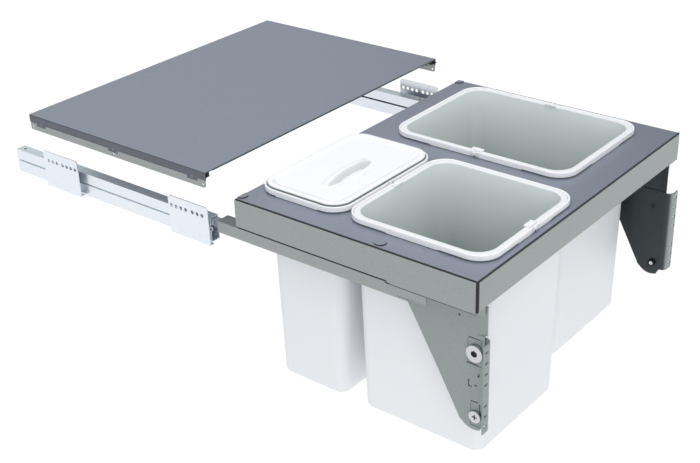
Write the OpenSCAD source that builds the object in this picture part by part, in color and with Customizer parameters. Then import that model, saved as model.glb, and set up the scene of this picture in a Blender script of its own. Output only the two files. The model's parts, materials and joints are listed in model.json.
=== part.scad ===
// Pull-out waste bin unit for a base cabinet: runners, deck frame, three lift-out bins,
// door brackets and the shelf lid that stays in the cabinet. Shown pulled fully out.
// Origin: middle of the door's screw slots, on the back face of the door. +X right,
// +Y into the cabinet, +Z up. The modules below measure from the deck's front top edge.

/* [Cabinet] */
// Clear width between the cabinet's side panels
cabinet_inside = 564; // [480:1:664]
// Length of the cabinet rails
rail_length = 430; // [415:1:450]
// How far behind the deck the cabinet rails start
rail_gap_y = 53; // [50:1:58]

/* [Deck frame] */
// Clearance between the side skirts and the cabinet's side panels
deck_side_gap = 7.5; // [7:0.1:8.5]
// Depth from the front skirt to the rear skirt
deck_depth = 397; // [380:1:440]
// Height of the skirts
skirt_height = 44.3; // [42:0.1:44.5]
// Thickness of the sheet steel
sheet_t = 1.2; // [1:0.1:1.25]

/* [Bins] */
// Deck left free between the bins on the left and the bin on the right
middle_strip = 37.5; // [30:0.5:60]
// Depth of the medium bin over its bail ring
medium_depth = 226; // [218:1:227]
// Depth of the bins under the deck
bin_height = 301; // [240:1:340]
// Thickness of the bin walls
bin_wall = 2.4; // [2:0.1:2.6]
// Corner radius of the bail rings, seen from above
ring_corner_r = 32; // [28:1:36]

/* [System lid] */
// Clearance between the lid's side flanges and the cabinet's side panels
lid_side_gap = 4; // [2:0.1:5]
// Depth of the lid
lid_depth = 378.7; // [360:0.1:390]
// Height of the lid's top over the deck
lid_top = 26.7; // [25:0.1:30]

/* [Door brackets] */
// Spacing of the screw slots in the door flanges
slot_pitch = 16; // [15:0.5:17]
// Height of a door bracket
bracket_height = 132; // [130:1:136]

/* [Hidden] */

// Shared sizes
over = 1;               // how far a cut runs past a face
bend_r = 1.8;           // outer radius of a folded sheet edge
bend_steps = 5;         // facets round a fold
round_fn = 64;          // facets round a bore or pin
hull_fn = 32;           // facets round a hull's slices
hex_fn = 6;
seat_gap = 0.2;         // between pieces that rest on each other without touching

// Deck and skirts
half_deck = cabinet_inside / 2 - deck_side_gap;
skirt_top = 2.4;                    // how far the skirts end below the deck's top
pan_drop = 10;                      // height of the deck's folded edge
skirt_foot = 16.3;                  // width of the side skirts' folded foot
front_foot = 13;                    // depth of the front skirt's folded foot
corner_gap = 3.2;                   // open corner between a side skirt and the front skirt
trim_drop = 0.5;                    // from the deck's top to a corner trim's top
trim_nose_r = 1.6;                  // of a corner trim's rounded outer edge
trim_reach = 7.5;                   // of a corner trim behind the side skirt's face
trim_depth = 5.2;                   // of a corner trim behind the front skirt's face
pan_x = half_deck - sheet_t;
pan_front = sheet_t;
pan_rear = deck_depth - sheet_t;
dip_length = 140;                   // front stretch where a side skirt reaches lower
dip = 2.4;                          // how much lower
dip_run = 9;                        // length of the step down to it
front_seal_drop = 0.4;              // from the deck's top to the black strip over the front skirt
side_seal_drop = 1;                 // and to the ones over the side skirts
side_seal_t = 0.6;
foot_seal_t = 0.6;                  // black strips under the side skirts' front stretch

// Round buffers on the deck: [side, inset from the deck's side edge, depth]
buffer_r = 8.6;
buffer_rise = 1.3;
buffer_places = [[-1, 12.5, 155.5], [-1, 12.5, 393], [1, 6.5, 392]];

// Places of the bins on the deck: [x0, y0, x1, y1] of each bail ring
left_margin = 36;
right_margin = 23.5;
front_margin = 11;
large_front_margin = 51;
ring_gap = 4.5;
rear_margin = 7;
large_rear_margin = 44;
bin_width = half_deck - (left_margin + right_margin + middle_strip) / 2;
small_depth = deck_depth - front_margin - medium_depth - ring_gap - rear_margin;
large_depth = deck_depth - large_front_margin - large_rear_margin;
large_x1 = half_deck - right_margin;
left_x0 = -half_deck + left_margin;
large_ring = [large_x1 - bin_width, large_front_margin, large_x1, large_front_margin + large_depth];
medium_ring = [left_x0, front_margin, left_x0 + bin_width, front_margin + medium_depth];
small_y0 = front_margin + medium_depth + ring_gap;
small_ring = [left_x0, small_y0, left_x0 + bin_width, small_y0 + small_depth];

// Bin rims and bail rings, as insets from the ring's outline and heights over the deck
strap_t = 3;
strap_top = 9;
strap_low = 0.5;
strap_corner_low = 1.6;
lip_inset = 3.4;
lip_t = 2;
opening_inset = 6.2;
body_inset = 8.2;
body_taper = 6.5;
rim_top = 8.2;
rim_t = 2;
floor_t = 3;
floor_edge_r = 8;
floor_steps = 3;
slice = 0.2;
deep_margin = 71;                   // from a ring's corner to the deep middle of its side
small_deep_margin = 36;
eye_r = (strap_top - strap_low) / 2;
eye_z = strap_low + eye_r;
eye_offset = 4.5;                   // from the middle of the side to each bail's pivot
pin_r = 1.5;
pin_play = 0.1;
pin_head_r = 2.6;
pin_head_t = 0.6;
clip_length = 18;
clip_width = 8.6;
clip_rise = 2.3;
clip_groove = 1.6;
clip_groove_depth = 1.1;
clip_groove_offset = 4.5;
clip_margin = 0.2;
narrow_clip = 3.9;

// Lid of the small bin
cap_inset = 4;
cap_low = 8.4;
cap_top = 13;
cap_rim = 8;
cap_recess = 1.6;
cap_plate_t = 1.9;
plug_inset = 11.8;
plug_t = 1.8;
plug_drop = 6;
notch_play = 0.6;
grip_length = 92;
grip_r = 3.4;
grip_rise = 5.5;
grip_x_share = 0.49;                // grip's middle, as shares of the ring's width and depth
grip_y_share = 0.42;
grip_beads = 9;
bowl_r = 26;
bowl_depth = 7;
bowl_reach = 24;
bowl_step_y = 11;

// Cabinet rails, seen from the front: x outwards from the middle, z up
rail_web_gap = 1.9;                 // between the rail's outer face and the skirt's outer plane
rail_width = 16.6;
rail_height = 37.8;
carrier_gap = 1.3;                  // between the skirt's foot and the carrier
rail_head_gap = 0.7;                // between the carrier's top and the rail
bead_depth = 3;
bead_top = 16.5;                    // from the rail's top to the bead and the slot
bead_height = 3;
rail_xo = half_deck - rail_web_gap;
rail_xi = rail_xo - rail_width;
carrier_top = -skirt_height - carrier_gap;
rail_z1 = carrier_top - sheet_t - rail_head_gap;
rail_z0 = rail_z1 - rail_height;
bead_z1 = rail_z1 - bead_top;
bead_z0 = bead_z1 - bead_height;
rail_y0 = deck_depth + rail_gap_y;
rail_y1 = rail_y0 + rail_length;
stop_hole_r = 2.5;
stop_hole_inset = 12;               // from the rail's rear end
stop_length = 20;
stop_block = 5.4;                   // solid end of the stop, behind the middle rail
stop_tongue_t = 0.9;
stop_play = 0.1;

// Carriers
carrier_reach = 3.5;                // of the carrier past the rail's inner face
carrier_xi = rail_xi - carrier_reach;
carrier_leg = 17.4;
carrier_inner_leg = 20.7;
carrier_front_leg = 14.4;           // the inner leg in front of the tongue, where it has no foot
foot_width = 9.5;
carrier_rear_reach = 37;            // behind the deck
carrier_front_gap = 1.4;            // clear of the front skirt
carrier_y0 = sheet_t + carrier_front_gap;
carrier_y1 = deck_depth + carrier_rear_reach;
leg_start = 76;                     // where the carrier's outer leg starts
foot_start = 120;                   // where its inner foot starts
tongue_drop = 13.4;                 // the leg's front tongue, cut free by a slit below it
tongue_r = 3;
tongue_back = 28;                   // from its tip to where the leg goes all the way down
slit_width = 1.2;
spacer_inset = 2.4;
rivet_r = 2.4;
rivet_head_r = 4.2;
rivet_head_t = 1.5;
rivet_play = 0.1;
carrier_rivet_share = [0.1, 0.5, 0.9];

// Middle rails and their ball cages
middle_play = 0.8;                  // between the middle rail and the rail round it
middle_wall_gap = 2.72;             // from the rail's outer face to the middle rail
middle_height = 8.5;
middle_top_gap = 1.3;
middle_length = 435;
ball_play = 0.1;
cage_t = 2;
cage_ball_count = 8;
cage_end = 6;
outer_cage_length = 190;
inner_cage_length = 196;
outer_ball_r = 2;
middle_xi = rail_xi + sheet_t + middle_play;
middle_xo = rail_xo - middle_wall_gap;
middle_z1 = rail_z1 - sheet_t - middle_top_gap;
middle_z0 = middle_z1 - middle_height;
middle_y1 = rail_y0 + rail_length / 2 - cage_end;
middle_y0 = middle_y1 - middle_length;
foot_top = carrier_top - carrier_inner_leg + sheet_t;
bead_run = bead_z1 + sheet_t;
inner_ball_r = (middle_z0 - foot_top) / 2 - ball_play;

// Cabinet brackets
plate_t = 1.5;
bracket_length = 79;
bracket_z1 = -26;
bracket_lip = 6;
bracket_corner = 3;
bracket_front_reach = 6.5;          // in front of the rail
rear_bracket_share = 0.628;         // place of the rear bracket's front end along the rail
hole_r = 3;
hole_pitch = 9.5;
hole_pair = 32;
hole_inset = 12.2;
hole_drop = 15;                     // from the bracket's top to its holes
near_hole_count = 3;                     // holes in the short and the long row
far_hole_count = 4;
pad_inset = 12;
pad_height = 14;
pad_rise = 2.3;                     // from the rail's underside to the block
bracket_x = cabinet_inside / 2;
pad_z0 = rail_z0 + pad_rise;
pad_z1 = pad_z0 + pad_height;
bracket_z0 = rail_z0;
front_bracket_y = rail_y0 - bracket_front_reach;
rear_bracket_y = rail_y0 + rear_bracket_share * rail_length;
rail_rivet_share = [0.25, 0.75];

// System lid: plate and side profiles
half_lid = cabinet_inside / 2 - lid_side_gap;
lid_gap_y = 49;                     // how far behind the deck the lid starts
lid_y0 = deck_depth + lid_gap_y;
lid_y1 = lid_y0 + lid_depth;
lid_seam = 15;
lid_low = 2.8;
lid_hem = 2.6;
lid_shelf = 16;
lid_end_r = 3.5;                    // lower corners of the profiles' ends
lid_tab_drop = 4.6;
lid_tab_length = 20;
lid_tab_play = 0.3;
lid_tab_r = 1.2;
lid_screw_r = 1.9;
lid_screw_rise = 4.2;
lid_screw_inset = 6;
lid_end_inset = 16;
lid_profile_inset = 1;              // of the side profiles from the plate's ends
bumper_width = 7;
bumper_height = 7;
bumper_length = 14;
bumper_reach = 4;
lid_tab_places = [lid_y0 + lid_end_inset, (lid_y0 + lid_y1 - lid_tab_length) / 2,
                  lid_y1 - lid_end_inset - lid_tab_length];
lid_screw_places = [lid_y0 + lid_screw_inset, (lid_y0 + lid_y1) / 2, lid_y1 - lid_screw_inset];

// Gussets and door brackets
gusset_band = 12.8;                 // slanted strip at the gusset's front edge
gusset_slant = 3;
gusset_steps = 8;
gusset_y0 = 2.5;
gusset_top_y = 138.5;
gusset_knee = [118, 82.7];          // corners of the gusset: depth, drop under the deck
gusset_middle = [74, 160.5];
gusset_heel = [37.3, 228];
gusset_heel_r = 24;
gusset_heel_y = 17.5;               // depth of the heel arc's centre
gusset_heel_angles = [-35, -115];
gusset_drop = 236;
door_gap = 7.8;                     // the door's back face stands this far in front of the deck
door_plate_t = 1.5;
web_gap = 0.5;
flange_inset = 4.5;                 // of the flange's edge from the side skirt's plane
slot_inset = 11;                    // of the slots' middles from the same plane
flange_reach = half_deck - flange_inset;
door_bend_r = 10.5;
bracket_top = 92;                   // drop of the door bracket's top edge
adjust = 2;                         // travel of a door bracket each way
web_depth = 40;
web_low_depth = 26;
web_taper_drop = 12;                // from the bracket's top to where the web starts to taper
flange_slot_x = half_deck - slot_inset;
flange_slot_r = 1.75;
flange_slot_length = 8;
flange_slot_drop = 10.4;            // from the bracket's top to its first slot
slot_steps = [0, 1, 2, 3, 5, 6, 7]; // the fifth place is left out
cam_y = 15.6;
cam_drop = 117.6;
cam_r = 12;
cam_t = 4;
cam_hex_r = 5;
cam_hex_depth = 3;
cam_shaft_r = 7.5;
cam_play = 0.3;
cam_pin_r = 2.5;
cam_throw = 4.5;
cam_pin_play = 0.1;
cam_pin_sway = 1;
cam_rivet_r = 3.6;
cam_rivet_t = 1.4;
pocket_depth = 0.7;
pocket_y0 = 7;
pocket_length = 21;
cam_pocket_height = 39;
clamp_pocket_height = 36;
clamp_pocket_length = 15;
clamp_pocket_rise = 20;
clamp_y = 14;
clamp_drop = 214;
clamp_r = 3;
clamp_head_r = 8.7;
clamp_head_t = 3;
clamp_play = 0.2;
clamp_nut_r = 6;
clamp_nut_t = 4;
cross_length = 8;
cross_width = 1.8;
cross_depth = 1.2;
small_hole = [41, 70.2, 1.9];       // [depth, drop, radius]
// Slots round the pockets: [front, rear, top, bottom] as depths and drops
gusset_slits = [[9, 26.5, 96.4, 97.8], [6.4, 7.8, 96.4, 104.6], [12.5, 28.4, 134.8, 136.2],
                [10.5, 21.2, 191.4, 192.8], [5.3, 9.6, 194, 216]];
oval_hole = [9.6, 149, 1.6];
oval_stretch = 2.4;
mark_place = [24.5, 166];
mark_leg = 11;
mark_foot = 4;
mark_dash = [12, 8];                // ends of the dash in front of the mark
mark_width = 1.8;
gusset_rivets = [[30, 56], [74, 56], [118, 56]];
gusset_xo = carrier_xi;
gusset_xi = gusset_xo - plate_t;
web_xo = gusset_xi - web_gap;
web_xi = web_xo - door_plate_t;
door_y = -door_gap;
bracket_zt = -bracket_top;
bracket_zb = -bracket_top - bracket_height;

last_slot_step = slot_steps[len(slot_steps) - 1];
deck_place = [0, door_gap, bracket_top + flange_slot_drop + last_slot_step * slot_pitch / 2];

steel = [0.58, 0.61, 0.61];
deck_grey = [0.55, 0.57, 0.65];
zinc = [0.86, 0.89, 0.93];
white = [0.95, 0.96, 0.97];
bin_white = [0.9, 0.92, 0.94];
black = [0.08, 0.08, 0.09];
bright = [0.75, 0.76, 0.78];

// Points on an arc of radius r round c, from angle a0 to a1
function arc(c, r, a0, a1, n) =
    [for (i = [0:n]) c + r * [cos(a0 + (a1 - a0) * i / n), sin(a0 + (a1 - a0) * i / n)]];
// A ring's box taken in by d on every side
function inset(b, d) = [b[0] + d, b[1] + d, b[2] - d, b[3] - d];
function middle(a, b) = (a + b) / 2;

// Draws a front-view outline (x, z) as a bar from y0 to y1
module along_y(y0, y1) {
    translate([0, y1, 0]) rotate([90, 0, 0]) linear_extrude(y1 - y0) children();
}
// Draws a side-view outline (y, z) as a bar from x0 to x1
module along_x(x0, x1) {
    translate([x0, 0, 0]) rotate([90, 0, 90]) linear_extrude(x1 - x0) children();
}
// A round bar along X from x0 to x1
module bar_x(x0, x1, y, z, r) {
    translate([x0, y, z]) rotate([0, 90, 0]) cylinder(h = x1 - x0, r = r, $fn = round_fn);
}
module bar_y(y0, y1, x, z, r) {
    translate([x, y1, z]) rotate([90, 0, 0]) cylinder(h = y1 - y0, r = r, $fn = round_fn);
}
module bar_z(z0, z1, x, y, r) {
    translate([x, y, z0]) cylinder(h = z1 - z0, r = r, $fn = round_fn);
}
module box(p0, p1) {
    translate(p0) cube(p1 - p0);
}
// Moves what is drawn from the deck's front top edge to the part's own origin
module placed() {
    translate(deck_place) children();
}
module left() {
    mirror([1, 0, 0]) children();
}
module both_sides() {
    children();
    left() children();
}

// A box b with corners of radius r, seen from above
module rounded(b, r, fn = round_fn) {
    translate([b[0] + r, b[1]]) square([b[2] - b[0] - 2 * r, b[3] - b[1]]);
    translate([b[0], b[1] + r]) square([b[2] - b[0], b[3] - b[1] - 2 * r]);
    for (x = [b[0] + r, b[2] - r], y = [b[1] + r, b[3] - r])
        translate([x, y]) circle(r, $fn = fn);
}
// A ring's outline taken in by d, as a slab from z0 to z1
module slab(b, d, z0, z1, fn = round_fn) {
    translate([0, 0, z0]) linear_extrude(z1 - z0) rounded(inset(b, d), ring_corner_r - d, fn);
}
module ring(b, d0, d1, z0, z1) {
    difference() {
        slab(b, d0, z0, z1);
        slab(b, d1, z0 - over, z1 + over);
    }
}

// Cabinet rails
module rail() {
    t = sheet_t;
    difference() {
        along_y(rail_y0, rail_y1) polygon([
            [rail_xi, bead_z1], [rail_xi, rail_z1], [rail_xo, rail_z1], [rail_xo, bead_z1],
            [rail_xo - bead_depth, bead_z1], [rail_xo - bead_depth, bead_z0],
            [rail_xo, bead_z0], [rail_xo, rail_z0], [rail_xi, rail_z0], [rail_xi, bead_z0],
            [rail_xi + t, bead_z0], [rail_xi + t, rail_z0 + t], [rail_xo - t, rail_z0 + t],
            [rail_xo - t, bead_z0 - t], [rail_xo - bead_depth - t, bead_z0 - t],
            [rail_xo - bead_depth - t, bead_run], [rail_xo - t, bead_run],
            [rail_xo - t, rail_z1 - t], [rail_xi + t, rail_z1 - t], [rail_xi + t, bead_z1]
        ]);
        bar_z(rail_z1 - t - over, rail_z1 + over, middle(rail_xi, rail_xo),
              rail_y1 - stop_hole_inset, stop_hole_r);
        for (y0 = [front_bracket_y, rear_bracket_y], share = rail_rivet_share)
            bar_x(rail_xo - t - over, rail_xo + over, y0 + share * bracket_length,
                  middle(pad_z0, pad_z1), rivet_r + rivet_play);
    }
}
module rail_stop() {
    t = sheet_t;
    box([rail_xi + t, rail_y1 - stop_block, bead_run + stop_play],
        [rail_xo - t - stop_play, rail_y1, rail_z1 - t]);
    box([rail_xi + t, rail_y1 - stop_length, rail_z1 - t - stop_tongue_t],
        [rail_xo - t - stop_play, rail_y1, rail_z1 - t]);
    bar_z(rail_z1 - t - stop_tongue_t, rail_z1, middle(rail_xi, rail_xo), rail_y1 - stop_hole_inset,
          stop_hole_r - stop_play);
}
module left_cabinet_rail() color(zinc) placed() left() rail();
module right_cabinet_rail() color(zinc) placed() rail();
module rail_end_stops() color(black) placed() both_sides() rail_stop();

// Cabinet brackets: a plate with two rows of screw holes, a foot lip and a block to the rail
module bracket(y0, flipped) {
    x1 = bracket_x;
    x0 = bracket_x - plate_t;
    y1 = y0 + bracket_length;
    first = flipped ? y1 - hole_inset : y0 + hole_inset;
    way = flipped ? -1 : 1;
    c = bracket_corner;
    difference() {
        union() {
            along_x(x0, x1) polygon([
                [y0, bracket_z0], [y1, bracket_z0], [y1, bracket_z1 - c], [y1 - c, bracket_z1],
                [y0 + c, bracket_z1], [y0, bracket_z1 - c]
            ]);
            box([x0 - bracket_lip, y0, bracket_z0], [x1, y1, bracket_z0 + plate_t]);
            box([rail_xo, y0 + pad_inset, pad_z0], [x1, y1 - pad_inset, pad_z1]);
        }
        for (i = [0:near_hole_count - 1]) bar_x(x0 - over, x1 + over, first + way * i * hole_pitch,
                              bracket_z1 - hole_drop, hole_r);
        for (i = [0:far_hole_count - 1])
            bar_x(x0 - over, x1 + over, first + way * (hole_pair + i * hole_pitch),
                  bracket_z1 - hole_drop, hole_r);
        for (share = rail_rivet_share)
            bar_x(rail_xo - over, x1 + over, y0 + share * bracket_length,
                  middle(pad_z0, pad_z1), rivet_r + rivet_play);
    }
}
module left_front_bracket() color(zinc) placed() left() bracket(front_bracket_y, false);
module right_front_bracket() color(zinc) placed() bracket(front_bracket_y, false);
module left_rear_bracket() color(zinc) placed() left() bracket(rear_bracket_y, true);
module right_rear_bracket() color(zinc) placed() bracket(rear_bracket_y, true);
module bracket_rivets() color(zinc) placed() both_sides()
    for (y0 = [front_bracket_y, rear_bracket_y], share = rail_rivet_share) {
        y = y0 + share * bracket_length;
        z = middle(pad_z0, pad_z1);
        bar_x(rail_xo - sheet_t - rivet_head_t, rail_xo - sheet_t, y, z, rivet_head_r);
        bar_x(rail_xo - sheet_t - rivet_head_t, bracket_x, y, z, rivet_r);
    }

// System lid
module lid_plate() color(deck_grey) placed() {
    t = sheet_t;
    r = bend_r;
    difference() {
        union() {
            along_y(lid_y0, lid_y1) polygon(concat(
                arc([-half_lid + r, lid_top - r], r, 180, 90, bend_steps),
                arc([half_lid - r, lid_top - r], r, 90, 0, bend_steps),
                [[half_lid, lid_seam], [half_lid - t, lid_seam], [half_lid - t, lid_top - t],
                 [-half_lid + t, lid_top - t], [-half_lid + t, lid_seam], [-half_lid, lid_seam]]
            ));
            for (y = [lid_y0, lid_y1 - t])
                box([-half_lid + lid_shelf, y, lid_top - lid_hem],
                    [half_lid - lid_shelf, y + t, lid_top - t / 2]);
            both_sides() for (y = lid_tab_places)
                box([half_lid - t, y, lid_seam - lid_tab_drop],
                    [half_lid, y + lid_tab_length, lid_seam + t]);
        }
        for (x = [-half_lid - over, half_lid - t - over], y = lid_tab_places)
            bar_x(x, x + t + 2 * over, y + lid_tab_length / 2, lid_seam, lid_tab_r + rivet_play);
    }
}
module lid_profile() {
    t = sheet_t;
    xo = half_lid;
    z1 = lid_top - t;
    joggle = lid_seam - t / 2;
    y0 = lid_y0 + lid_profile_inset;
    y1 = lid_y1 - lid_profile_inset;
    r = lid_end_r;
    difference() {
        along_y(y0, y1) polygon([
            [xo, lid_low], [xo, joggle], [xo - t, joggle], [xo - t, z1],
            [xo - lid_shelf, z1], [xo - lid_shelf, z1 - t], [xo - 2 * t, z1 - t],
            [xo - 2 * t, joggle - t], [xo - t, joggle - t], [xo - t, lid_low]
        ]);
        along_x(xo - 2 * t, xo + over) polygon(concat(
            [[y0 - over, lid_low + r], [y0 - over, lid_low - over], [y0 + r, lid_low - over]],
            arc([y0 + r, lid_low + r], r, 270, 180, bend_steps)
        ));
        along_x(xo - 2 * t, xo + over) polygon(concat(
            [[y1 + over, lid_low + r], [y1 + over, lid_low - over], [y1 - r, lid_low - over]],
            arc([y1 - r, lid_low + r], r, 270, 360, bend_steps)
        ));
        for (y = lid_tab_places) {
            box([xo - t, y - lid_tab_play, lid_seam - lid_tab_drop - lid_tab_play],
                [xo + over, y + lid_tab_length + lid_tab_play, lid_seam]);
            bar_x(xo - 3 * t, xo + over, y + lid_tab_length / 2, lid_seam, lid_tab_r + rivet_play);
        }
        for (y = lid_screw_places)
            bar_x(xo - 2 * t, xo + over, y, lid_low + lid_screw_rise, lid_screw_r);
    }
}
module lid_left_profile() color(steel) placed() left() lid_profile();
module lid_right_profile() color(steel) placed() lid_profile();
module lid_rivets() color(steel) placed() both_sides() for (y = lid_tab_places) {
    yc = y + lid_tab_length / 2;
    bar_x(half_lid - 3 * sheet_t, half_lid, yc, lid_seam, lid_tab_r);
    bar_x(half_lid - 3 * sheet_t, half_lid - 2 * sheet_t, yc, lid_seam, 2 * lid_tab_r);
}
module lid_bumpers() color(black) placed() both_sides() {
    x1 = half_lid - 2 * sheet_t;
    z1 = lid_top - 2 * sheet_t;
    y0 = lid_y0 - bumper_reach;
    box([x1 - bumper_width, lid_y0 + sheet_t, z1 - bumper_height],
        [x1, y0 + bumper_length, z1]);
    along_x(x1 - bumper_width / 2, x1) polygon([
        [y0, z1 - bumper_height / 2], [lid_y0 + sheet_t, z1 - bumper_height],
        [lid_y0 + sheet_t, z1 - sheet_t]
    ]);
}

// Deck: a pan with folded edges and three openings
module pan(d, z0) {
    r = bend_r - d;
    x = pan_x - d;
    y0 = pan_front + d;
    y1 = pan_rear - d;
    intersection() {
        along_y(y0 - over, y1 + over) polygon(concat(
            [[-x, z0]], arc([-x + r, -d - r], r, 180, 90, bend_steps),
            arc([x - r, -d - r], r, 90, 0, bend_steps), [[x, z0]]
        ));
        along_x(-x - over, x + over) polygon(concat(
            [[y0, z0]], arc([y0 + r, -d - r], r, 180, 90, bend_steps),
            arc([y1 - r, -d - r], r, 90, 0, bend_steps), [[y1, z0]]
        ));
    }
}
module deck() color(deck_grey) placed() {
    difference() {
        pan(0, -pan_drop);
        pan(sheet_t, -pan_drop - over);
        for (b = [large_ring, medium_ring, small_ring])
            slab(b, opening_inset, -sheet_t - over, over);
    }
}
module deck_buffers() color(black) placed() intersection() {
    union() {
        for (p = buffer_places)
            bar_z(0, buffer_rise, p[0] * (half_deck - p[1]), p[2], buffer_r);
    }
    flat_x = pan_x - bend_r;
    box([-flat_x, 0, 0], [flat_x, pan_rear - bend_r, buffer_rise]);
}

// Skirts of the deck frame
module side_skirt() {
    t = sheet_t;
    x1 = half_deck;
    z0 = -skirt_height;
    r = bend_r;
    difference() {
        union() {
            along_y(corner_gap, pan_rear) polygon(concat(
                [[x1 - skirt_foot, z0], [x1 - skirt_foot, z0 + t]],
                arc([x1 - r, z0 + r], r - t, -90, 0, bend_steps),
                [[x1 - t, -skirt_top], [x1, -skirt_top]],
                arc([x1 - r, z0 + r], r, 0, -90, bend_steps)
            ));
            along_x(x1 - t, x1) polygon([
                [corner_gap, z0 - dip], [dip_length - dip_run, z0 - dip], [dip_length, z0 + r],
                [corner_gap, z0 + r]
            ]);
        }
        carrier_rivet_holes(z0 - over, z0 + t + over);
    }
}
module left_side_skirt() color(steel) placed() left() side_skirt();
module right_side_skirt() color(steel) placed() side_skirt();
module front_skirt() color(steel) placed() {
    t = sheet_t;
    z0 = -skirt_height;
    r = bend_r;
    along_x(-half_deck + corner_gap, half_deck - corner_gap) polygon(concat(
        [[0, -skirt_top], [t, -skirt_top]],
        arc([r, z0 + r], r - t, 180, 270, bend_steps),
        arc([r, z0 + r], r, 270, 180, bend_steps)
    ));
    foot_x = half_deck - skirt_foot - seat_gap;
    box([-foot_x, r, z0], [foot_x, front_foot, z0 + t]);
}
module rear_skirt() color(steel) placed() {
    box([-half_deck, pan_rear, -skirt_height], [half_deck, deck_depth, -skirt_top]);
}
module front_seal() color(black) placed() {
    x = half_deck - corner_gap;
    box([-x, seat_gap, -skirt_top + seat_gap], [x, sheet_t, -front_seal_drop]);
}
module side_seals() color(black) placed() both_sides() {
    z_foot = -skirt_height - dip - seat_gap;
    box([pan_x, corner_gap, -skirt_top + seat_gap],
        [pan_x + side_seal_t, pan_rear, -side_seal_drop]);
    box([half_deck - sheet_t, corner_gap, z_foot - foot_seal_t],
        [half_deck, dip_length - dip_run, z_foot]);
}
module corner_trims() color(black) placed() both_sides() {
    g = seat_gap;
    c = corner_gap;
    r = trim_nose_r;
    nose = concat([[half_deck - c + g, sheet_t - g], [half_deck - c + g, g]],
                  arc([half_deck - g - r, g + r], r, -90, 0, bend_steps), [[half_deck - g, c - g]]);
    z_post = -skirt_height + sheet_t + 2 * g;
    translate([0, 0, -skirt_height]) linear_extrude(skirt_height - trim_drop)
        polygon(concat(nose, [[pan_x + g, c - g], [pan_x + g, sheet_t - g]]));
    translate([0, 0, z_post]) linear_extrude(-pan_drop - g - z_post)
        polygon(concat(nose, [[pan_x - g, c - g], [pan_x - g, trim_depth],
                              [half_deck - trim_reach, trim_depth],
                              [half_deck - trim_reach, sheet_t + g],
                              [half_deck - c + g, sheet_t + g]]));
}

// Carriers: folded channels over the rails, riveted under the side skirts
module carrier_rivet_holes(z0, z1) {
    for (share = carrier_rivet_share)
        bar_z(z0, z1, middle(rail_xi, rail_xo), share * deck_depth, rivet_r + rivet_play);
}
module carrier() {
    t = sheet_t;
    xo = half_deck;
    xi = carrier_xi;
    zt = carrier_top;
    zi = zt - carrier_inner_leg;
    z_leg = zt - carrier_leg;
    cut = dip - carrier_gap + foot_seal_t + 2 * seat_gap;
    foot_x = xi + t + foot_width;
    z_slit = zt - tongue_drop;
    y_leg = leg_start + tongue_back;
    difference() {
        along_y(carrier_y0, carrier_y1) polygon([
            [xi, zt], [xo, zt], [xo, z_leg], [xo - t, z_leg], [xo - t, zt - t],
            [xi + t, zt - t], [xi + t, zi + t], [foot_x, zi + t], [foot_x, zi], [xi, zi]
        ]);
        box([xi - over, 0, zi - over], [foot_x + over, foot_start, zt - carrier_front_leg]);
        box([xo - t - seat_gap, 0, zt - cut], [xo + over, dip_length + seat_gap, zt + over]);
        along_x(xo - t - seat_gap, xo + over) polygon(concat(
            [[0, z_leg - over], [0, zt], [leg_start, zt]],
            arc([leg_start + tongue_r, z_slit + tongue_r], tongue_r, 180, 270, bend_steps),
            [[foot_start, z_slit], [foot_start, z_slit - slit_width],
             [y_leg, z_slit - slit_width], [y_leg, z_leg - over]]
        ));
        carrier_rivet_holes(zt - t - over, zt + over);
        for (p = gusset_rivets) bar_x(xi - over, xi + t + over, p[0], -p[1], rivet_r + rivet_play);
    }
}
module left_carrier() color(steel) placed() left() carrier();
module right_carrier() color(steel) placed() carrier();
module carrier_spacers() color(black) placed() both_sides() difference() {
    box([half_deck - skirt_foot, carrier_y0 + spacer_inset, carrier_top],
        [rail_xo - spacer_inset, deck_depth - spacer_inset, -skirt_height]);
    carrier_rivet_holes(carrier_top - over, -skirt_height + over);
}
module carrier_rivets() color(steel) placed() both_sides() for (share = carrier_rivet_share) {
    x = middle(rail_xi, rail_xo);
    z1 = -skirt_height + sheet_t;
    bar_z(carrier_top - sheet_t, z1 + rivet_head_t, x, share * deck_depth, rivet_r);
    bar_z(z1, z1 + rivet_head_t, x, share * deck_depth, rivet_head_r);
}

// Middle rails and ball cages
module middle_rail() {
    along_y(middle_y0, middle_y1) polygon([
        [middle_xi, middle_z0], [middle_xi, middle_z1], [middle_xo, middle_z1],
        [middle_xo, middle_z0]
    ]);
}
module cage(x, floor, ball_r, x0, x1, y0, length) {
    z = floor + ball_play + ball_r;
    box([x0, y0, z - cage_t / 2], [x1, y0 + length, z + cage_t / 2]);
    for (i = [0:cage_ball_count - 1])
        translate([x, y0 + cage_end + i * (length - 2 * cage_end) / (cage_ball_count - 1), z])
            sphere(ball_r, $fn = hull_fn);
}
module outer_cage() {
    x1 = rail_xo - sheet_t - seat_gap;
    cage(x1 - outer_ball_r, bead_run, outer_ball_r, x1 - 2 * outer_ball_r, x1,
         rail_y0 + cage_end, outer_cage_length);
}
module inner_cage() {
    x0 = rail_xi + sheet_t + middle_play;
    x1 = carrier_xi + sheet_t + foot_width;
    cage(x1 - seat_gap - cage_t / 2, foot_top, inner_ball_r, x0, x1 + cage_t / 2,
         carrier_y1 - cage_end - inner_cage_length, inner_cage_length);
}
module left_middle_rail() color(zinc) placed() left() middle_rail();
module right_middle_rail() color(zinc) placed() middle_rail();
module left_outer_cage() color(white) placed() left() outer_cage();
module right_outer_cage() color(white) placed() outer_cage();
module left_inner_cage() color(white) placed() left() inner_cage();
module right_inner_cage() color(white) placed() inner_cage();

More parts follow.
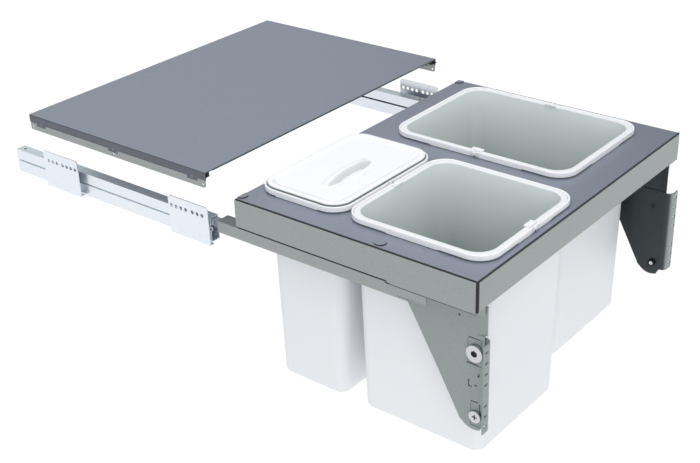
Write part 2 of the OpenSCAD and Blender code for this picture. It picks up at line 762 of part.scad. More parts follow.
// Gussets: a plate with a slanted front strip, pockets for the cam and the clamp screw
module gusset() {
    x0 = gusset_xi;
    x1 = gusset_xo;
    z_top = carrier_top - sheet_t;
    band_z = bracket_zt + adjust + web_gap;
    difference() {
        union() {
            along_x(x0, x1) polygon(concat(
                [[gusset_band, z_top], [gusset_top_y, z_top], [gusset_knee[0], -gusset_knee[1]],
                 [gusset_middle[0], -gusset_middle[1]], [gusset_heel[0], -gusset_heel[1]]],
                arc([gusset_heel_y, gusset_heel_r - gusset_drop], gusset_heel_r,
                    gusset_heel_angles[0], gusset_heel_angles[1], gusset_steps),
                [[gusset_y0, -gusset_drop + gusset_heel_r / 2], [gusset_y0, band_z],
                 [gusset_band, band_z]]
            ));
            translate([0, 0, band_z]) linear_extrude(z_top - band_z) polygon([
                [x1, gusset_band], [x0, gusset_band], [x0 - gusset_slant, gusset_y0 - plate_t],
                [x1 - gusset_slant, gusset_y0 - plate_t]
            ]);
        }
        bar_x(x0 - over, x1 + over, cam_y, -cam_drop, cam_shaft_r + cam_play);
        bar_x(x0 - over, x1 + over, clamp_y, -clamp_drop, clamp_r + clamp_play);
        bar_x(x0 - over, x1 + over, small_hole[0], -small_hole[1], small_hole[2]);
        for (s = [0, oval_stretch])
            bar_x(x0 - over, x1 + over, oval_hole[0] + s / 2, -oval_hole[1] - s, oval_hole[2]);
        for (p = gusset_rivets) bar_x(x0 - over, x1 + over, p[0], -p[1], rivet_r + rivet_play);
        for (p = gusset_slits) box([x0 - over, p[0], -p[3]], [x1 + over, p[1], -p[2]]);
        box([x1 - pocket_depth, pocket_y0, -cam_drop - cam_pocket_height / 2],
            [x1 + over, pocket_y0 + pocket_length, -cam_drop + cam_pocket_height / 2]);
        box([x1 - pocket_depth, pocket_y0, -clamp_drop + clamp_pocket_rise - clamp_pocket_height],
            [x1 + over, pocket_y0 + clamp_pocket_length, -clamp_drop + clamp_pocket_rise]);
        box([x0 - over, mark_place[0], -mark_place[1] - mark_leg / 2],
            [x1 + over, mark_place[0] + mark_width, -mark_place[1] + mark_leg / 2]);
        box([x0 - over, mark_place[0] - mark_foot, -mark_place[1] - mark_leg / 2],
            [x1 + over, mark_place[0] + mark_width, -mark_place[1] - mark_leg / 2 + mark_width]);
        box([x0 - over, mark_place[0] - mark_dash[0], -mark_place[1] - mark_width],
            [x1 + over, mark_place[0] - mark_dash[1], -mark_place[1]]);
    }
}
module left_gusset() color(steel) placed() left() gusset();
module right_gusset() color(steel) placed() gusset();
module gusset_rivets() color(steel) placed() both_sides() for (p = gusset_rivets) {
    bar_x(gusset_xi - rivet_head_t, gusset_xi, p[0], -p[1], rivet_head_r);
    bar_x(gusset_xi - rivet_head_t, carrier_xi + sheet_t, p[0], -p[1], rivet_r);
}
module clamp_screws() color(bright) placed() both_sides() {
    seat = gusset_xo;
    nut_end = web_xi - web_gap - clamp_nut_t;
    difference() {
        union() {
            bar_x(seat, seat + clamp_head_t, clamp_y, -clamp_drop, clamp_head_r);
            bar_x(nut_end, seat, clamp_y, -clamp_drop, clamp_r);
        }
        for (turn = [0, 90])
            translate([seat + clamp_head_t - cross_depth, clamp_y, -clamp_drop])
                rotate([turn, 0, 0]) translate([0, -cross_length / 2, -cross_width / 2])
                    cube([cross_depth + over, cross_length, cross_width]);
    }
}
module clamp_nuts() color(bright) placed() both_sides() difference() {
    translate([web_xi - web_gap - clamp_nut_t, clamp_y, -clamp_drop]) rotate([0, 90, 0])
        cylinder(h = clamp_nut_t, r = clamp_nut_r, $fn = hex_fn);
    bar_x(web_xi - web_gap - clamp_nut_t - over, web_xi, clamp_y, -clamp_drop, clamp_r);
}

// Door brackets: an angle with a rounded bend, slots for the door's screws
module door_bracket() {
    t = door_plate_t;
    r = door_bend_r;
    c = [web_xi + r, door_y + r];
    difference() {
        translate([0, 0, bracket_zb]) linear_extrude(bracket_height) polygon(concat(
            [[web_xi, web_depth]], arc(c, r, 180, 270, 2 * bend_steps),
            [[flange_reach, door_y], [flange_reach, door_y + t]],
            arc(c, r - t, 270, 180, 2 * bend_steps), [[web_xo, web_depth]]
        ));
        along_x(web_xi - over, web_xo + over) polygon([
            [web_depth, bracket_zt - web_taper_drop], [web_low_depth, bracket_zb],
            [web_low_depth, bracket_zb - over], [web_depth + over, bracket_zb - over]
        ]);
        for (i = [0, 1]) bar_x(web_xi - over, web_xo + over,
            cam_y + cam_throw - i * cam_pin_sway, -cam_drop, cam_pin_r + cam_pin_play);
        box([web_xi - over, cam_y + cam_throw - cam_pin_sway, -cam_drop - cam_pin_r - cam_pin_play],
            [web_xo + over, cam_y + cam_throw, -cam_drop + cam_pin_r + cam_pin_play]);
        for (way = [-1, 1]) bar_x(web_xi - over, web_xo + over, clamp_y,
            -clamp_drop + way * (adjust + clamp_play), clamp_r + clamp_play);
        box([web_xi - over, clamp_y - clamp_r - clamp_play, -clamp_drop - adjust - clamp_play],
            [web_xo + over, clamp_y + clamp_r + clamp_play, -clamp_drop + adjust + clamp_play]);
        for (i = slot_steps) flange_slot(bracket_zt - flange_slot_drop - i * slot_pitch);
    }
}
module flange_slot(z) {
    half = flange_slot_length / 2 - flange_slot_r;
    for (x = [flange_slot_x - half, flange_slot_x + half])
        bar_y(door_y - over, door_y + door_plate_t + over, x, z, flange_slot_r);
    box([flange_slot_x - half, door_y - over, z - flange_slot_r],
        [flange_slot_x + half, door_y + door_plate_t + over, z + flange_slot_r]);
}
module left_door_bracket() color(steel) placed() left() door_bracket();
module right_door_bracket() color(steel) placed() door_bracket();

// Cams: turning one lifts or lowers its door bracket
module cam() {
    seat = gusset_xo + seat_gap;
    pin_y = cam_y + cam_throw;
    shaft_end = web_xo + seat_gap;
    difference() {
        bar_x(seat, seat + cam_t, cam_y, -cam_drop, cam_r);
        translate([seat + cam_t - cam_hex_depth, cam_y, -cam_drop]) rotate([0, 90, 0])
            cylinder(h = cam_hex_depth + over, r = cam_hex_r, $fn = hex_fn);
    }
    bar_x(shaft_end, seat, cam_y, -cam_drop, cam_shaft_r);
    bar_x(web_xi - seat_gap, shaft_end, pin_y, -cam_drop, cam_pin_r);
    bar_x(web_xi - seat_gap - cam_rivet_t, web_xi - seat_gap, pin_y, -cam_drop, cam_rivet_r);
}
module left_cam() color(bright) placed() left() cam();
module right_cam() color(bright) placed() cam();

// Bins: a tapered shell, a rim that hangs on the deck and pins for the bails
module bin_form(b, d, z1, z0) {
    depth_share = -z0 / bin_height;
    hull() {
        slab(b, d - body_taper * z1 / bin_height, z1 - slice, z1, hull_fn);
        for (i = [0:floor_steps]) {
            a = 90 * i / floor_steps;
            r = floor_edge_r * depth_share;
            z = z0 + r * (1 - sin(a));
            slab(b, d + body_taper * depth_share + r * (1 - cos(a)), z, z + slice, hull_fn);
        }
    }
}
module bail_pins(b, along) {
    xm = middle(b[0], b[2]);
    ym = middle(b[1], b[3]);
    far = -pin_play - pin_head_t;
    for (way = [-1, 1]) {
        if (along == "x") for (side = [0, 1]) {
            y = ym + way * eye_offset;
            mirror_about_x(xm, side) {
                bar_x(b[0] + far, b[0] + lip_inset + lip_t / 2, y, eye_z, pin_r);
                bar_x(b[0] + far, b[0] - pin_play, y, eye_z, pin_head_r);
            }
        }
        if (along == "y") for (side = [0, 1]) {
            x = xm + way * eye_offset;
            mirror_about_y(ym, side) {
                bar_y(b[1] + far, b[1] + lip_inset + lip_t / 2, x, eye_z, pin_r);
                bar_y(b[1] + far, b[1] - pin_play, x, eye_z, pin_head_r);
            }
        }
    }
}
module mirror_about_x(x, side) {
    translate([x, 0, 0]) mirror([side, 0, 0]) translate([-x, 0, 0]) children();
}
module mirror_about_y(y, side) {
    translate([0, y, 0]) mirror([0, side, 0]) translate([0, -y, 0]) children();
}
module bin(b, along) {
    difference() {
        union() {
            bin_form(b, body_inset, rim_top, -bin_height);
            slab(b, lip_inset, rim_top - rim_t, rim_top);
            ring(b, lip_inset, lip_inset + lip_t, 0, rim_top);
            bail_pins(b, along);
        }
        bin_form(b, body_inset + bin_wall, rim_top + over, -bin_height + floor_t);
    }
}
module clips(b, along, width) {
    z0 = rim_top;
    z1 = rim_top + clip_rise;
    d = lip_inset + clip_margin;
    half = clip_length / 2;
    xm = middle(b[0], b[2]);
    ym = middle(b[1], b[3]);
    for (side = [0, 1]) {
        if (along == "x") mirror_about_x(xm, side)
            clip_block([b[0] + d, ym - half, z0], [b[0] + d + width, ym + half, z1], 1);
        if (along == "y") mirror_about_y(ym, side)
            clip_block([xm - half, b[1] + d, z0], [xm + half, b[1] + d + width, z1], 0);
    }
}
module clip_block(p0, p1, run) {
    mid = (p0 + p1) / 2;
    w = clip_groove / 2;
    difference() {
        box(p0, p1);
        for (way = [-1, 1]) {
            c = mid[run] + way * clip_groove_offset;
            if (run == 1) box([p0[0] - over, c - w, p1[2] - clip_groove_depth],
                              [p1[0] + over, c + w, p1[2] + over]);
            if (run == 0) box([c - w, p0[1] - over, p1[2] - clip_groove_depth],
                              [c + w, p1[1] + over, p1[2] + over]);
        }
    }
}
// One half of a bail ring: along is the pivot axis, way is the side it covers
module bail(b, along, way, margin) {
    xm = middle(b[0], b[2]);
    ym = middle(b[1], b[3]);
    far = strap_t + over;
    px = xm + way * eye_offset;
    py = ym + way * eye_offset;
    ends = along == "x" ? [[b[0], b[2] - strap_t], py] : [[b[1], b[3] - strap_t], px];
    z1 = strap_top + over;
    half = along == "x"
        ? [[b[0] - far, way > 0 ? py : b[1] - far, 0], [b[2] + far, way > 0 ? b[3] + far : py, z1]]
        : [[way > 0 ? px : b[0] - far, b[1] - far, 0], [way > 0 ? b[2] + far : px, b[3] + far, z1]];
    difference() {
        union() {
            intersection() {
                union() {
                    ring(b, 0, strap_t, strap_corner_low, strap_top);
                    intersection() {
                        ring(b, 0, strap_t, strap_low, strap_top);
                        union() {
                            box([b[0] + margin, b[1] - far, 0], [b[2] - margin, b[3] + far, strap_top]);
                            box([b[0] - far, b[1] + margin, 0], [b[2] + far, b[3] - margin, strap_top]);
                        }
                    }
                }
                box(half[0], half[1]);
            }
            for (start = ends[0])
                if (along == "x") bar_x(start, start + strap_t, ends[1], eye_z, eye_r);
                else bar_y(start, start + strap_t, ends[1], eye_z, eye_r);
        }
        for (start = ends[0])
            if (along == "x") bar_x(start - over, start + far, ends[1], eye_z, pin_r + pin_play);
            else bar_y(start - over, start + far, ends[1], eye_z, pin_r + pin_play);
    }
}
module large_bin() color(bin_white) placed() bin(large_ring, "x");
module large_bin_clips() color(white) placed() clips(large_ring, "x", clip_width);
module large_front_bail() color(white) placed() bail(large_ring, "x", -1, deep_margin);
module large_rear_bail() color(white) placed() bail(large_ring, "x", 1, deep_margin);
module medium_bin() color(bin_white) placed() bin(medium_ring, "y");
module medium_bin_clips() color(white) placed() clips(medium_ring, "y", clip_width);
module medium_left_bail() color(white) placed() bail(medium_ring, "y", -1, deep_margin);
module medium_right_bail() color(white) placed() bail(medium_ring, "y", 1, deep_margin);
module small_bin() color(bin_white) placed() bin(small_ring, "y");
module small_bin_clips() color(white) placed() clips(small_ring, "y", narrow_clip);
module small_left_bail() color(white) placed() bail(small_ring, "y", -1, small_deep_margin);
module small_right_bail() color(white) placed() bail(small_ring, "y", 1, small_deep_margin);

// Lid of the small bin: a recessed plate with a plug collar, a grip and a hollow beside it
module small_bin_lid() color(white) placed() {
    b = small_ring;
    xm = b[0] + grip_x_share * (b[2] - b[0]);
    ym = b[1] + grip_y_share * (b[3] - b[1]);
    z_recess = cap_top - cap_recess;
    half = clip_length / 2 + notch_play;
    xc = middle(b[0], b[2]);
    difference() {
        union() {
            slab(b, cap_inset, cap_low, cap_top);
            ring(b, plug_inset, plug_inset + plug_t, -plug_drop, cap_low + cap_plate_t);
            bowl([xm, ym - bowl_step_y], z_recess, bowl_r + cap_plate_t, bowl_depth + cap_plate_t);
        }
        slab(b, cap_inset + cap_rim, z_recess, cap_top + over);
        slab(b, plug_inset + plug_t, cap_low - over, z_recess - cap_plate_t);
        bowl([xm, ym - bowl_step_y], z_recess + over, bowl_r, bowl_depth + over);
        for (y = [b[1] - over, b[3] - lip_inset - clip_margin - narrow_clip - notch_play])
            box([xc - half, y, cap_low - over],
                [xc + half, y + over + lip_inset + clip_margin + narrow_clip + notch_play,
                 rim_top + clip_rise + notch_play]);
    }
    hull() for (i = [0:grip_beads - 1]) {
        s = i / (grip_beads - 1);
        translate([xm + (s - 0.5) * grip_length, ym, z_recess - grip_r / 2 + grip_rise * sin(180 * s)])
            sphere(grip_r, $fn = hull_fn / 2);
    }
}
module bowl(c, z, r, depth) {
    ball_r = (r * r + depth * depth) / (2 * depth);
    intersection() {
        hull() for (way = [-1, 1])
            translate([c[0] + way * bowl_reach, c[1], z - depth + ball_r]) sphere(ball_r, $fn = hull_fn);
        box([c[0] - bowl_reach - r - over, c[1] - r - over, z - depth - over],
            [c[0] + bowl_reach + r + over, c[1] + r + over, z]);
    }
}

left_cabinet_rail();
right_cabinet_rail();
left_front_bracket();
right_front_bracket();
left_rear_bracket();
right_rear_bracket();
bracket_rivets();
rail_end_stops();
lid_plate();
lid_left_profile();
lid_right_profile();
lid_rivets();
lid_bumpers();
deck();
left_side_skirt();
right_side_skirt();
front_skirt();
rear_skirt();
front_seal();
side_seals();
corner_trims();
deck_buffers();
left_carrier();
right_carrier();
carrier_spacers();
carrier_rivets();
left_gusset();
right_gusset();
gusset_rivets();
clamp_screws();
clamp_nuts();
left_middle_rail();
right_middle_rail();
left_outer_cage();
right_outer_cage();
left_inner_cage();
right_inner_cage();
large_bin();
large_bin_clips();
large_front_bail();
large_rear_bail();
medium_bin();
medium_bin_clips();
medium_left_bail();
medium_right_bail();
small_bin();
small_bin_clips();
small_left_bail();
small_right_bail();
small_bin_lid();
left_door_bracket();
right_door_bracket();
left_cam();
right_cam();
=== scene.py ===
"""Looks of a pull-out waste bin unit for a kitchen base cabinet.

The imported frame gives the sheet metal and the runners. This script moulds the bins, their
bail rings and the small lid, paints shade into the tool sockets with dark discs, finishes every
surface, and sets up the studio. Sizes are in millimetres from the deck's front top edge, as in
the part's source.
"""

import json
import logging
import math
from collections.abc import Iterable, Sequence
from dataclasses import dataclass, field, replace
from enum import Enum

import bmesh
import bpy
from mathutils import Matrix, Vector


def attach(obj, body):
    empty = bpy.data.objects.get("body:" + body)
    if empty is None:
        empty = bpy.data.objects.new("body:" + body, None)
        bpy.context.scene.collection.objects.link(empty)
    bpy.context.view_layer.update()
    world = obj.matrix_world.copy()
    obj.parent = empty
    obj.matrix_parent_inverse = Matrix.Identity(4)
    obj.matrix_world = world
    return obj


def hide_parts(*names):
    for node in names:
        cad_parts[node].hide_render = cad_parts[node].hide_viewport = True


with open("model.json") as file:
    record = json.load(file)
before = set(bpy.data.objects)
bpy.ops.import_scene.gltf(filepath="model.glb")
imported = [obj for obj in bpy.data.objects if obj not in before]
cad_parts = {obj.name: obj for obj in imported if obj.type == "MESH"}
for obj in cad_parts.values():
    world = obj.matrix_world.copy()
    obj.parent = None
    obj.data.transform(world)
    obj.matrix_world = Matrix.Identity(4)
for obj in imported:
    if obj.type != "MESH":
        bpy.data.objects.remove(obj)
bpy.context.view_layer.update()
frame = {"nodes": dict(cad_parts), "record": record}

Point = tuple[float, float, float]
Flat = tuple[float, float]
Colour = tuple[float, float, float, float]

log = logging.getLogger("waste bin unit")
MM = 0.001
DECK_PLACE = Vector((0.0, 7.8, 158.4))
WELD_M = 1e-6
# The colour sockets of a colour mix and the two shaders of a shader mix, by their number
MIX_UNDER, MIX_OVER, MIX_RESULT = 6, 7, 2
FIRST_SHADER, SECOND_SHADER = 1, 2
# How far faces lean where a finish starts and ends its turn to another colour or to painted shade,
# as parts of their normals
FOLD_SHADE_BAND: Flat = (0.1, 0.3)
TOP_BAND: Flat = (0.75, 0.95)
INNER_BAND: Flat = (-0.5, -0.8)
FRONT_BAND: Flat = (-0.25, -0.8)


class Slot(Enum):
    """The record's material slots."""

    ZINC = "zinc"
    GREY_STEEL = "grey_steel"
    DECK_STEEL = "deck_steel"
    BRIGHT_STEEL = "bright_steel"
    BIN_PLASTIC = "bin_plastic"
    TRIM_PLASTIC = "trim_plastic"
    BLACK_PLASTIC = "black_plastic"


class Axis(Enum):
    """An axis, by its socket's name: of a pair of bails, a turned piece or a face's lean."""

    X = "X"
    Y = "Y"
    Z = "Z"


class Side(Enum):
    """A side of the unit, seen from the front, as its way along X."""

    LEFT = -1
    RIGHT = 1


def linear(hex_colour: str) -> Colour:
    """Turns an sRGB hex colour to linear.

    Args:
        hex_colour: six hex digits after a hash sign.

    Returns:
        Linear red, green, blue and an alpha of one.
    """
    parts = [int(hex_colour[i : i + 2], 16) / 255 for i in (1, 3, 5)]
    r, g, b = (c / 12.92 if c <= 0.04045 else ((c + 0.055) / 1.055) ** 2.4 for c in parts)
    return (r, g, b, 1.0)


def add_node(
    tree: bpy.types.NodeTree,
    kind: str,
    settings: dict[str, object] | None = None,
    **inputs: object,
) -> bpy.types.Node:
    """Adds a node with its settings, values and links.

    Args:
        tree: the node tree that gets the node.
        kind: the node's type name.
        settings: attributes of the node by name.
        inputs: values or sockets by input name, spaces written as underscores.

    Returns:
        The new node.
    """
    node = tree.nodes.new(kind)
    for name, value in (settings or {}).items():
        setattr(node, name, value)
    for name, value in inputs.items():
        wanted = name.replace("_", " ").lower()
        socket = next(s for s in node.inputs if s.enabled and s.name.lower() == wanted)
        if isinstance(value, bpy.types.NodeSocket):
            tree.links.new(value, socket)
        else:
            socket.default_value = value
    return node


def blend(
    tree: bpy.types.NodeTree,
    under: bpy.types.NodeSocket | str,
    over: str,
    share: bpy.types.NodeSocket,
) -> bpy.types.NodeSocket:
    """Lays one colour over another by a share.

    Args:
        tree: the material's node tree.
        under: the colour at a share of zero, a socket or an sRGB hex.
        over: sRGB hex of the colour at a share of one.
        share: the share.

    Returns:
        The colour socket.
    """
    mix = add_node(tree, "ShaderNodeMix", {"data_type": "RGBA"}, Factor=share)
    if isinstance(under, str):
        mix.inputs[MIX_UNDER].default_value = linear(under)
    else:
        tree.links.new(under, mix.inputs[MIX_UNDER])
    mix.inputs[MIX_OVER].default_value = linear(over)
    return mix.outputs[MIX_RESULT]


def leaning(tree: bpy.types.NodeTree, axis: Axis, band: Flat) -> bpy.types.NodeSocket:
    """Tells how far a face leans along an axis of its object.

    Args:
        tree: the material's node tree.
        axis: the axis.
        band: the parts of the normal at a share of zero and of one.

    Returns:
        The share.
    """
    facing = add_node(tree, "ShaderNodeTexCoord").outputs["Normal"]
    part = add_node(tree, "ShaderNodeSeparateXYZ", Vector=facing).outputs[axis.value]
    share = add_node(tree, "ShaderNodeMapRange", Value=part, From_Min=band[0], From_Max=band[1])
    return share.outputs["Result"]


@dataclass(frozen=True)
class Finish:
    """A surface: what it is made of and how it was made.

    Args:
        name: the material's name.
        base: sRGB hex of the body colour.
        tint: sRGB hex that the colour drifts to.
        roughness: mean roughness.
        metallic: share of metal in the look.
        grain_mm: size of the surface's fine grain.
        grain_depth_mm: height of that grain.
        stretch: how much longer the grain is along Y than across.
        drift_mm: size of the slow changes in colour.
        gloss_spread: how far the grain moves the roughness, as a share of it.
        above: sRGB hex of the faces that look up, empty where it is the same; it holds painted
            shade, partly the finish's own colour.
        painted_fold_shade: sRGB hex of painted shade on the bends up to them, empty where there is
            none.
    """

    name: str
    base: str
    tint: str
    roughness: float
    metallic: float
    grain_mm: float
    grain_depth_mm: float
    stretch: float = 1.0
    drift_mm: float = 120.0
    gloss_spread: float = 0.15
    above: str = ""
    painted_fold_shade: str = ""

    def shader(self, tree: bpy.types.NodeTree) -> bpy.types.Node:
        """Adds the Principled shader with the settings that don't vary.

        Args:
            tree: the material's node tree.

        Returns:
            The shader node.
        """
        return add_node(tree, "ShaderNodeBsdfPrincipled", Metallic=self.metallic)

    def colour(self, tree: bpy.types.NodeTree, place: bpy.types.NodeSocket) -> bpy.types.NodeSocket:
        """Adds the slow drift of the colour.

        Args:
            tree: the material's node tree.
            place: the object coordinates.

        Returns:
            The colour socket.
        """
        drift = add_node(
            tree, "ShaderNodeTexNoise", Vector=place, Scale=1 / (self.drift_mm * MM), Detail=2.0
        )
        colour = blend(tree, self.base, self.tint, drift.outputs["Fac"])
        # Painted shade darkens the bends up to the faces that look up
        if self.painted_fold_shade:
            colour = blend(tree, colour, self.painted_fold_shade, leaning(tree, Axis.Z, FOLD_SHADE_BAND))
        # Faces that look up take their own tint: painted shade on zinc, the coat's violet with
        # painted shade on the lavender coat
        if self.above:
            colour = blend(tree, colour, self.above, leaning(tree, Axis.Z, TOP_BAND))
        return colour

    def material(self) -> bpy.types.Material:
        """Builds the material once and hands it out after that.

        Returns:
            The Blender material.
        """
        old = bpy.data.materials.get(self.name)
        if old:
            return old
        made = bpy.data.materials.new(self.name)
        made.use_nodes = True
        tree = made.node_tree
        tree.nodes.clear()
        place = add_node(tree, "ShaderNodeTexCoord").outputs["Object"]
        shader = self.shader(tree)
        tree.links.new(self.colour(tree, place), shader.inputs["Base Color"])
        along = add_node(
            tree, "ShaderNodeMapping", Vector=place, Scale=(1.0, 1 / self.stretch, 1.0)
        )
        grain = add_node(
            tree,
            "ShaderNodeTexNoise",
            Vector=along.outputs["Vector"],
            Scale=1 / (self.grain_mm * MM),
            Detail=3.0,
        )
        gloss = add_node(
            tree,
            "ShaderNodeMapRange",
            Value=grain.outputs["Fac"],
            To_Min=self.roughness * (1 - self.gloss_spread),
            To_Max=self.roughness * (1 + self.gloss_spread),
        )
        tree.links.new(gloss.outputs["Result"], shader.inputs["Roughness"])
        bump = add_node(
            tree,
            "ShaderNodeBump",
            Height=grain.outputs["Fac"],
            Distance=self.grain_depth_mm * MM,
            Strength=1.0,
        )
        tree.links.new(bump.outputs["Normal"], shader.inputs["Normal"])
        out = add_node(tree, "ShaderNodeOutputMaterial")
        tree.links.new(shader.outputs["BSDF"], out.inputs["Surface"])
        made.diffuse_color = linear(self.base)
        return made


@dataclass(frozen=True)
class FlakedCoat(Finish):
    """Powder coat with aluminium flake, sprayed on sheet steel and baked.

    Args:
        flake_mm: spacing of the flakes.
        flake_share: how much a flake changes the colour.
    """

    flake_mm: float = 1.6
    flake_share: float = 0.06

    def colour(self, tree: bpy.types.NodeTree, place: bpy.types.NodeSocket) -> bpy.types.NodeSocket:
        """Adds the flakes to the drift of the colour.

        Args:
            tree: the material's node tree.
            place: the object coordinates.

        Returns:
            The colour socket.
        """
        under = super().colour(tree, place)
        cells = add_node(
            tree, "ShaderNodeTexVoronoi", Vector=place, Scale=1 / (self.flake_mm * MM)
        )
        spark = add_node(
            tree,
            "ShaderNodeMapRange",
            Value=cells.outputs["Color"],
            To_Min=1 - self.flake_share,
            To_Max=1 + self.flake_share,
        )
        shade = add_node(
            tree, "ShaderNodeVectorMath", {"operation": "SCALE"}, Vector=under,
            Scale=spark.outputs["Result"],
        )
        return shade.outputs["Vector"]


@dataclass(frozen=True)
class InnerShadedCoat(FlakedCoat):
    """Flaked coat with painted shade, almost black, on the side that looks to the unit's middle.

    Args:
        side: the side of the unit that the sheet is on.
        painted_inner_shade: sRGB hex of the painted shade on the side that looks to the unit's
            middle.
    """

    side: Side = Side.RIGHT
    painted_inner_shade: str = "#333A3C"

    def colour(self, tree: bpy.types.NodeTree, place: bpy.types.NodeSocket) -> bpy.types.NodeSocket:
        """Paints shade over the coat on the inner side.

        Args:
            tree: the material's node tree.
            place: the object coordinates.

        Returns:
            The colour socket.
        """
        start, end = (part * self.side.value for part in INNER_BAND)
        inner = leaning(tree, Axis.X, (start, end))
        return blend(tree, super().colour(tree, place), self.painted_inner_shade, inner)


@dataclass(frozen=True)
class MouldedPlastic(Finish):
    """Injection-moulded plastic, a little translucent under its skin.

    Args:
        depth_mm: how far light goes under the skin.
        under_share: share of light that does.
        reach: how far red, green and blue go, against that depth.
        ior: index of refraction, that of polypropylene.
    """

    depth_mm: float = 1.0
    under_share: float = 0.1
    reach: Point = (1.0, 0.9, 0.8)
    ior: float = 1.49

    def shader(self, tree: bpy.types.NodeTree) -> bpy.types.Node:
        """Adds the Principled shader with light under the skin.

        Args:
            tree: the material's node tree.

        Returns:
            The shader node.
        """
        return add_node(
            tree,
            "ShaderNodeBsdfPrincipled",
            IOR=self.ior,
            Subsurface_Weight=self.under_share,
            Subsurface_Scale=self.depth_mm * MM,
            Subsurface_Radius=self.reach,
        )


@dataclass(frozen=True)
class DepthShadedMoulding(MouldedPlastic):
    """Plastic with painted shade that deepens towards a bin's floor.

    Args:
        low: sRGB hex of the painted shade far under the rim.
        top_z: height where it starts to turn.
        low_z: height where it has turned.
    """

    low: str = "#B0BDBA"
    top_z: float = 0.0
    low_z: float = -170.0

    def colour(self, tree: bpy.types.NodeTree, place: bpy.types.NodeSocket) -> bpy.types.NodeSocket:
        """Paints shade into the colour with the depth under the rim.

        Args:
            tree: the material's node tree.
            place: the object coordinates.

        Returns:
            The colour socket.
        """
        height = add_node(tree, "ShaderNodeSeparateXYZ", Vector=place).outputs["Z"]
        share = add_node(
            tree, "ShaderNodeMapRange", Value=height,
            From_Min=(DECK_PLACE.z + self.top_z) * MM, From_Max=(DECK_PLACE.z + self.low_z) * MM,
        )
        return blend(tree, super().colour(tree, place), self.low, share.outputs["Result"])


@dataclass(frozen=True)
class ShadedMoulding(MouldedPlastic):
    """Plastic with a grained patch and painted shade on the faces that lean to the front.

    Args:
        front: sRGB hex of the painted shade on the faces that lean to the front.
    """

    front: str = "#D6D9DB"

    def colour(self, tree: bpy.types.NodeTree, place: bpy.types.NodeSocket) -> bpy.types.NodeSocket:
        """Paints shade into the colour with the lean of the face.

        Args:
            tree: the material's node tree.
            place: the object coordinates.

        Returns:
            The colour socket.
        """
        lean = leaning(tree, Axis.Y, FRONT_BAND)
        return blend(tree, super().colour(tree, place), self.front, lean)


# Powder coat in silver grey, satin: faces that look up take a faint violet, partly its colour and
# partly painted shade, and the bends up to them get painted shade
LAVENDER_COAT = FlakedCoat(
    "steel_powder_coated_silver_lavender", base="#989F9E", tint="#9CA2A0", roughness=0.36,
    metallic=0.6, grain_mm=1.2, grain_depth_mm=0.012, above="#9298A6", painted_fold_shade="#585E66"
)
# The same coat under the lid's lavender top, with painted shade in dark grey: a fine dark line
# along the front hem, and dark folded ends
LID_HEM_SHADE_COAT = replace(
    LAVENDER_COAT, name="steel_powder_coated_hemmed", base="#60636D", tint="#646771"
)
# Powder coat in silver grey: reads greenish grey, and darker where it faces a dark gap
SILVER_COAT = FlakedCoat(
    "steel_powder_coated_silver_grey", base="#989F9E", tint="#9CA2A0", roughness=0.36,
    metallic=0.55, grain_mm=1.2, grain_depth_mm=0.012
)
# Zinc on rolled strip: bright and bluish, with fine lines along the rolling direction, and painted
# shade that greys the faces that look up
ROLLED_ZINC = Finish(
    "steel_zinc_plated_rolled", base="#EEF2F8", tint="#E4EBF3", roughness=0.30, metallic=0.8,
    grain_mm=0.7, grain_depth_mm=0.01, stretch=40.0, drift_mm=60.0, above="#E2ECF0"
)
# The same silver coat on the gussets and door brackets, with painted shade that makes their inner
# side almost black
LEFT_SHADED_GUSSET_COAT = InnerShadedCoat(
    "steel_powder_coated_outside_left", base="#8F9797", tint="#939A99", roughness=0.36,
    metallic=0.4, grain_mm=1.2, grain_depth_mm=0.012, side=Side.LEFT
)
RIGHT_SHADED_GUSSET_COAT = replace(
    LEFT_SHADED_GUSSET_COAT, name="steel_powder_coated_outside_right", side=Side.RIGHT
)
# Nickel on turned steel: a hard bright glint on screw heads
TURNED_NICKEL = Finish(
    "steel_nickel_plated_turned", base="#D6D7DA", tint="#C9CACE", roughness=0.24, metallic=1.0,
    grain_mm=0.5, grain_depth_mm=0.004
)
# Nickel on the cams: a bright glint outside, and painted shade that keeps their shafts inside black
LEFT_CAM_NICKEL = InnerShadedCoat(
    "steel_nickel_plated_outside_left", base="#D6D7DA", tint="#C9CACE", roughness=0.24,
    metallic=1.0, grain_mm=0.5, grain_depth_mm=0.004, flake_share=0.0, side=Side.LEFT
)
RIGHT_CAM_NICKEL = replace(
    LEFT_CAM_NICKEL, name="steel_nickel_plated_outside_right", side=Side.RIGHT
)
# Phosphated steel, left dark and oiled, for the nuts; the same near black as painted shade on the
# floors of tool sockets
BLACK_PHOSPHATE_AND_SOCKET_SHADE = Finish(
    "steel_phosphated_oiled", base="#22262A", tint="#1B1E22", roughness=0.45, metallic=0.6,
    grain_mm=0.6, grain_depth_mm=0.006
)
# Polypropylene from a fine-eroded mould: milky off-white walls with a soft sheen
MOULDED_POLYPROPYLENE = MouldedPlastic(
    "polypropylene_moulded_eroded", base="#EDEFF1", tint="#E9ECF0", roughness=0.38,
    metallic=0.0, grain_mm=0.9, grain_depth_mm=0.01, depth_mm=2.0, under_share=0.15
)
# Polypropylene from a polished mould: clean white rings and lid with crisp highlights
POLISHED_POLYPROPYLENE = MouldedPlastic(
    "polypropylene_moulded_polished", base="#F8F9FA", tint="#F5F7F9", roughness=0.22,
    metallic=0.0, grain_mm=1.5, grain_depth_mm=0.003, depth_mm=1.5, under_share=0.12
)
# Polypropylene for the bins' insides: matt, with painted shade that turns it greenish grey and
# darker below
DEPTH_SHADED_POLYPROPYLENE = DepthShadedMoulding(
    "polypropylene_moulded_blasted_core", base="#EFF4F4", tint="#EBF1F1", roughness=0.55,
    metallic=0.0, grain_mm=0.9, grain_depth_mm=0.01, depth_mm=1.0, under_share=0.05
)
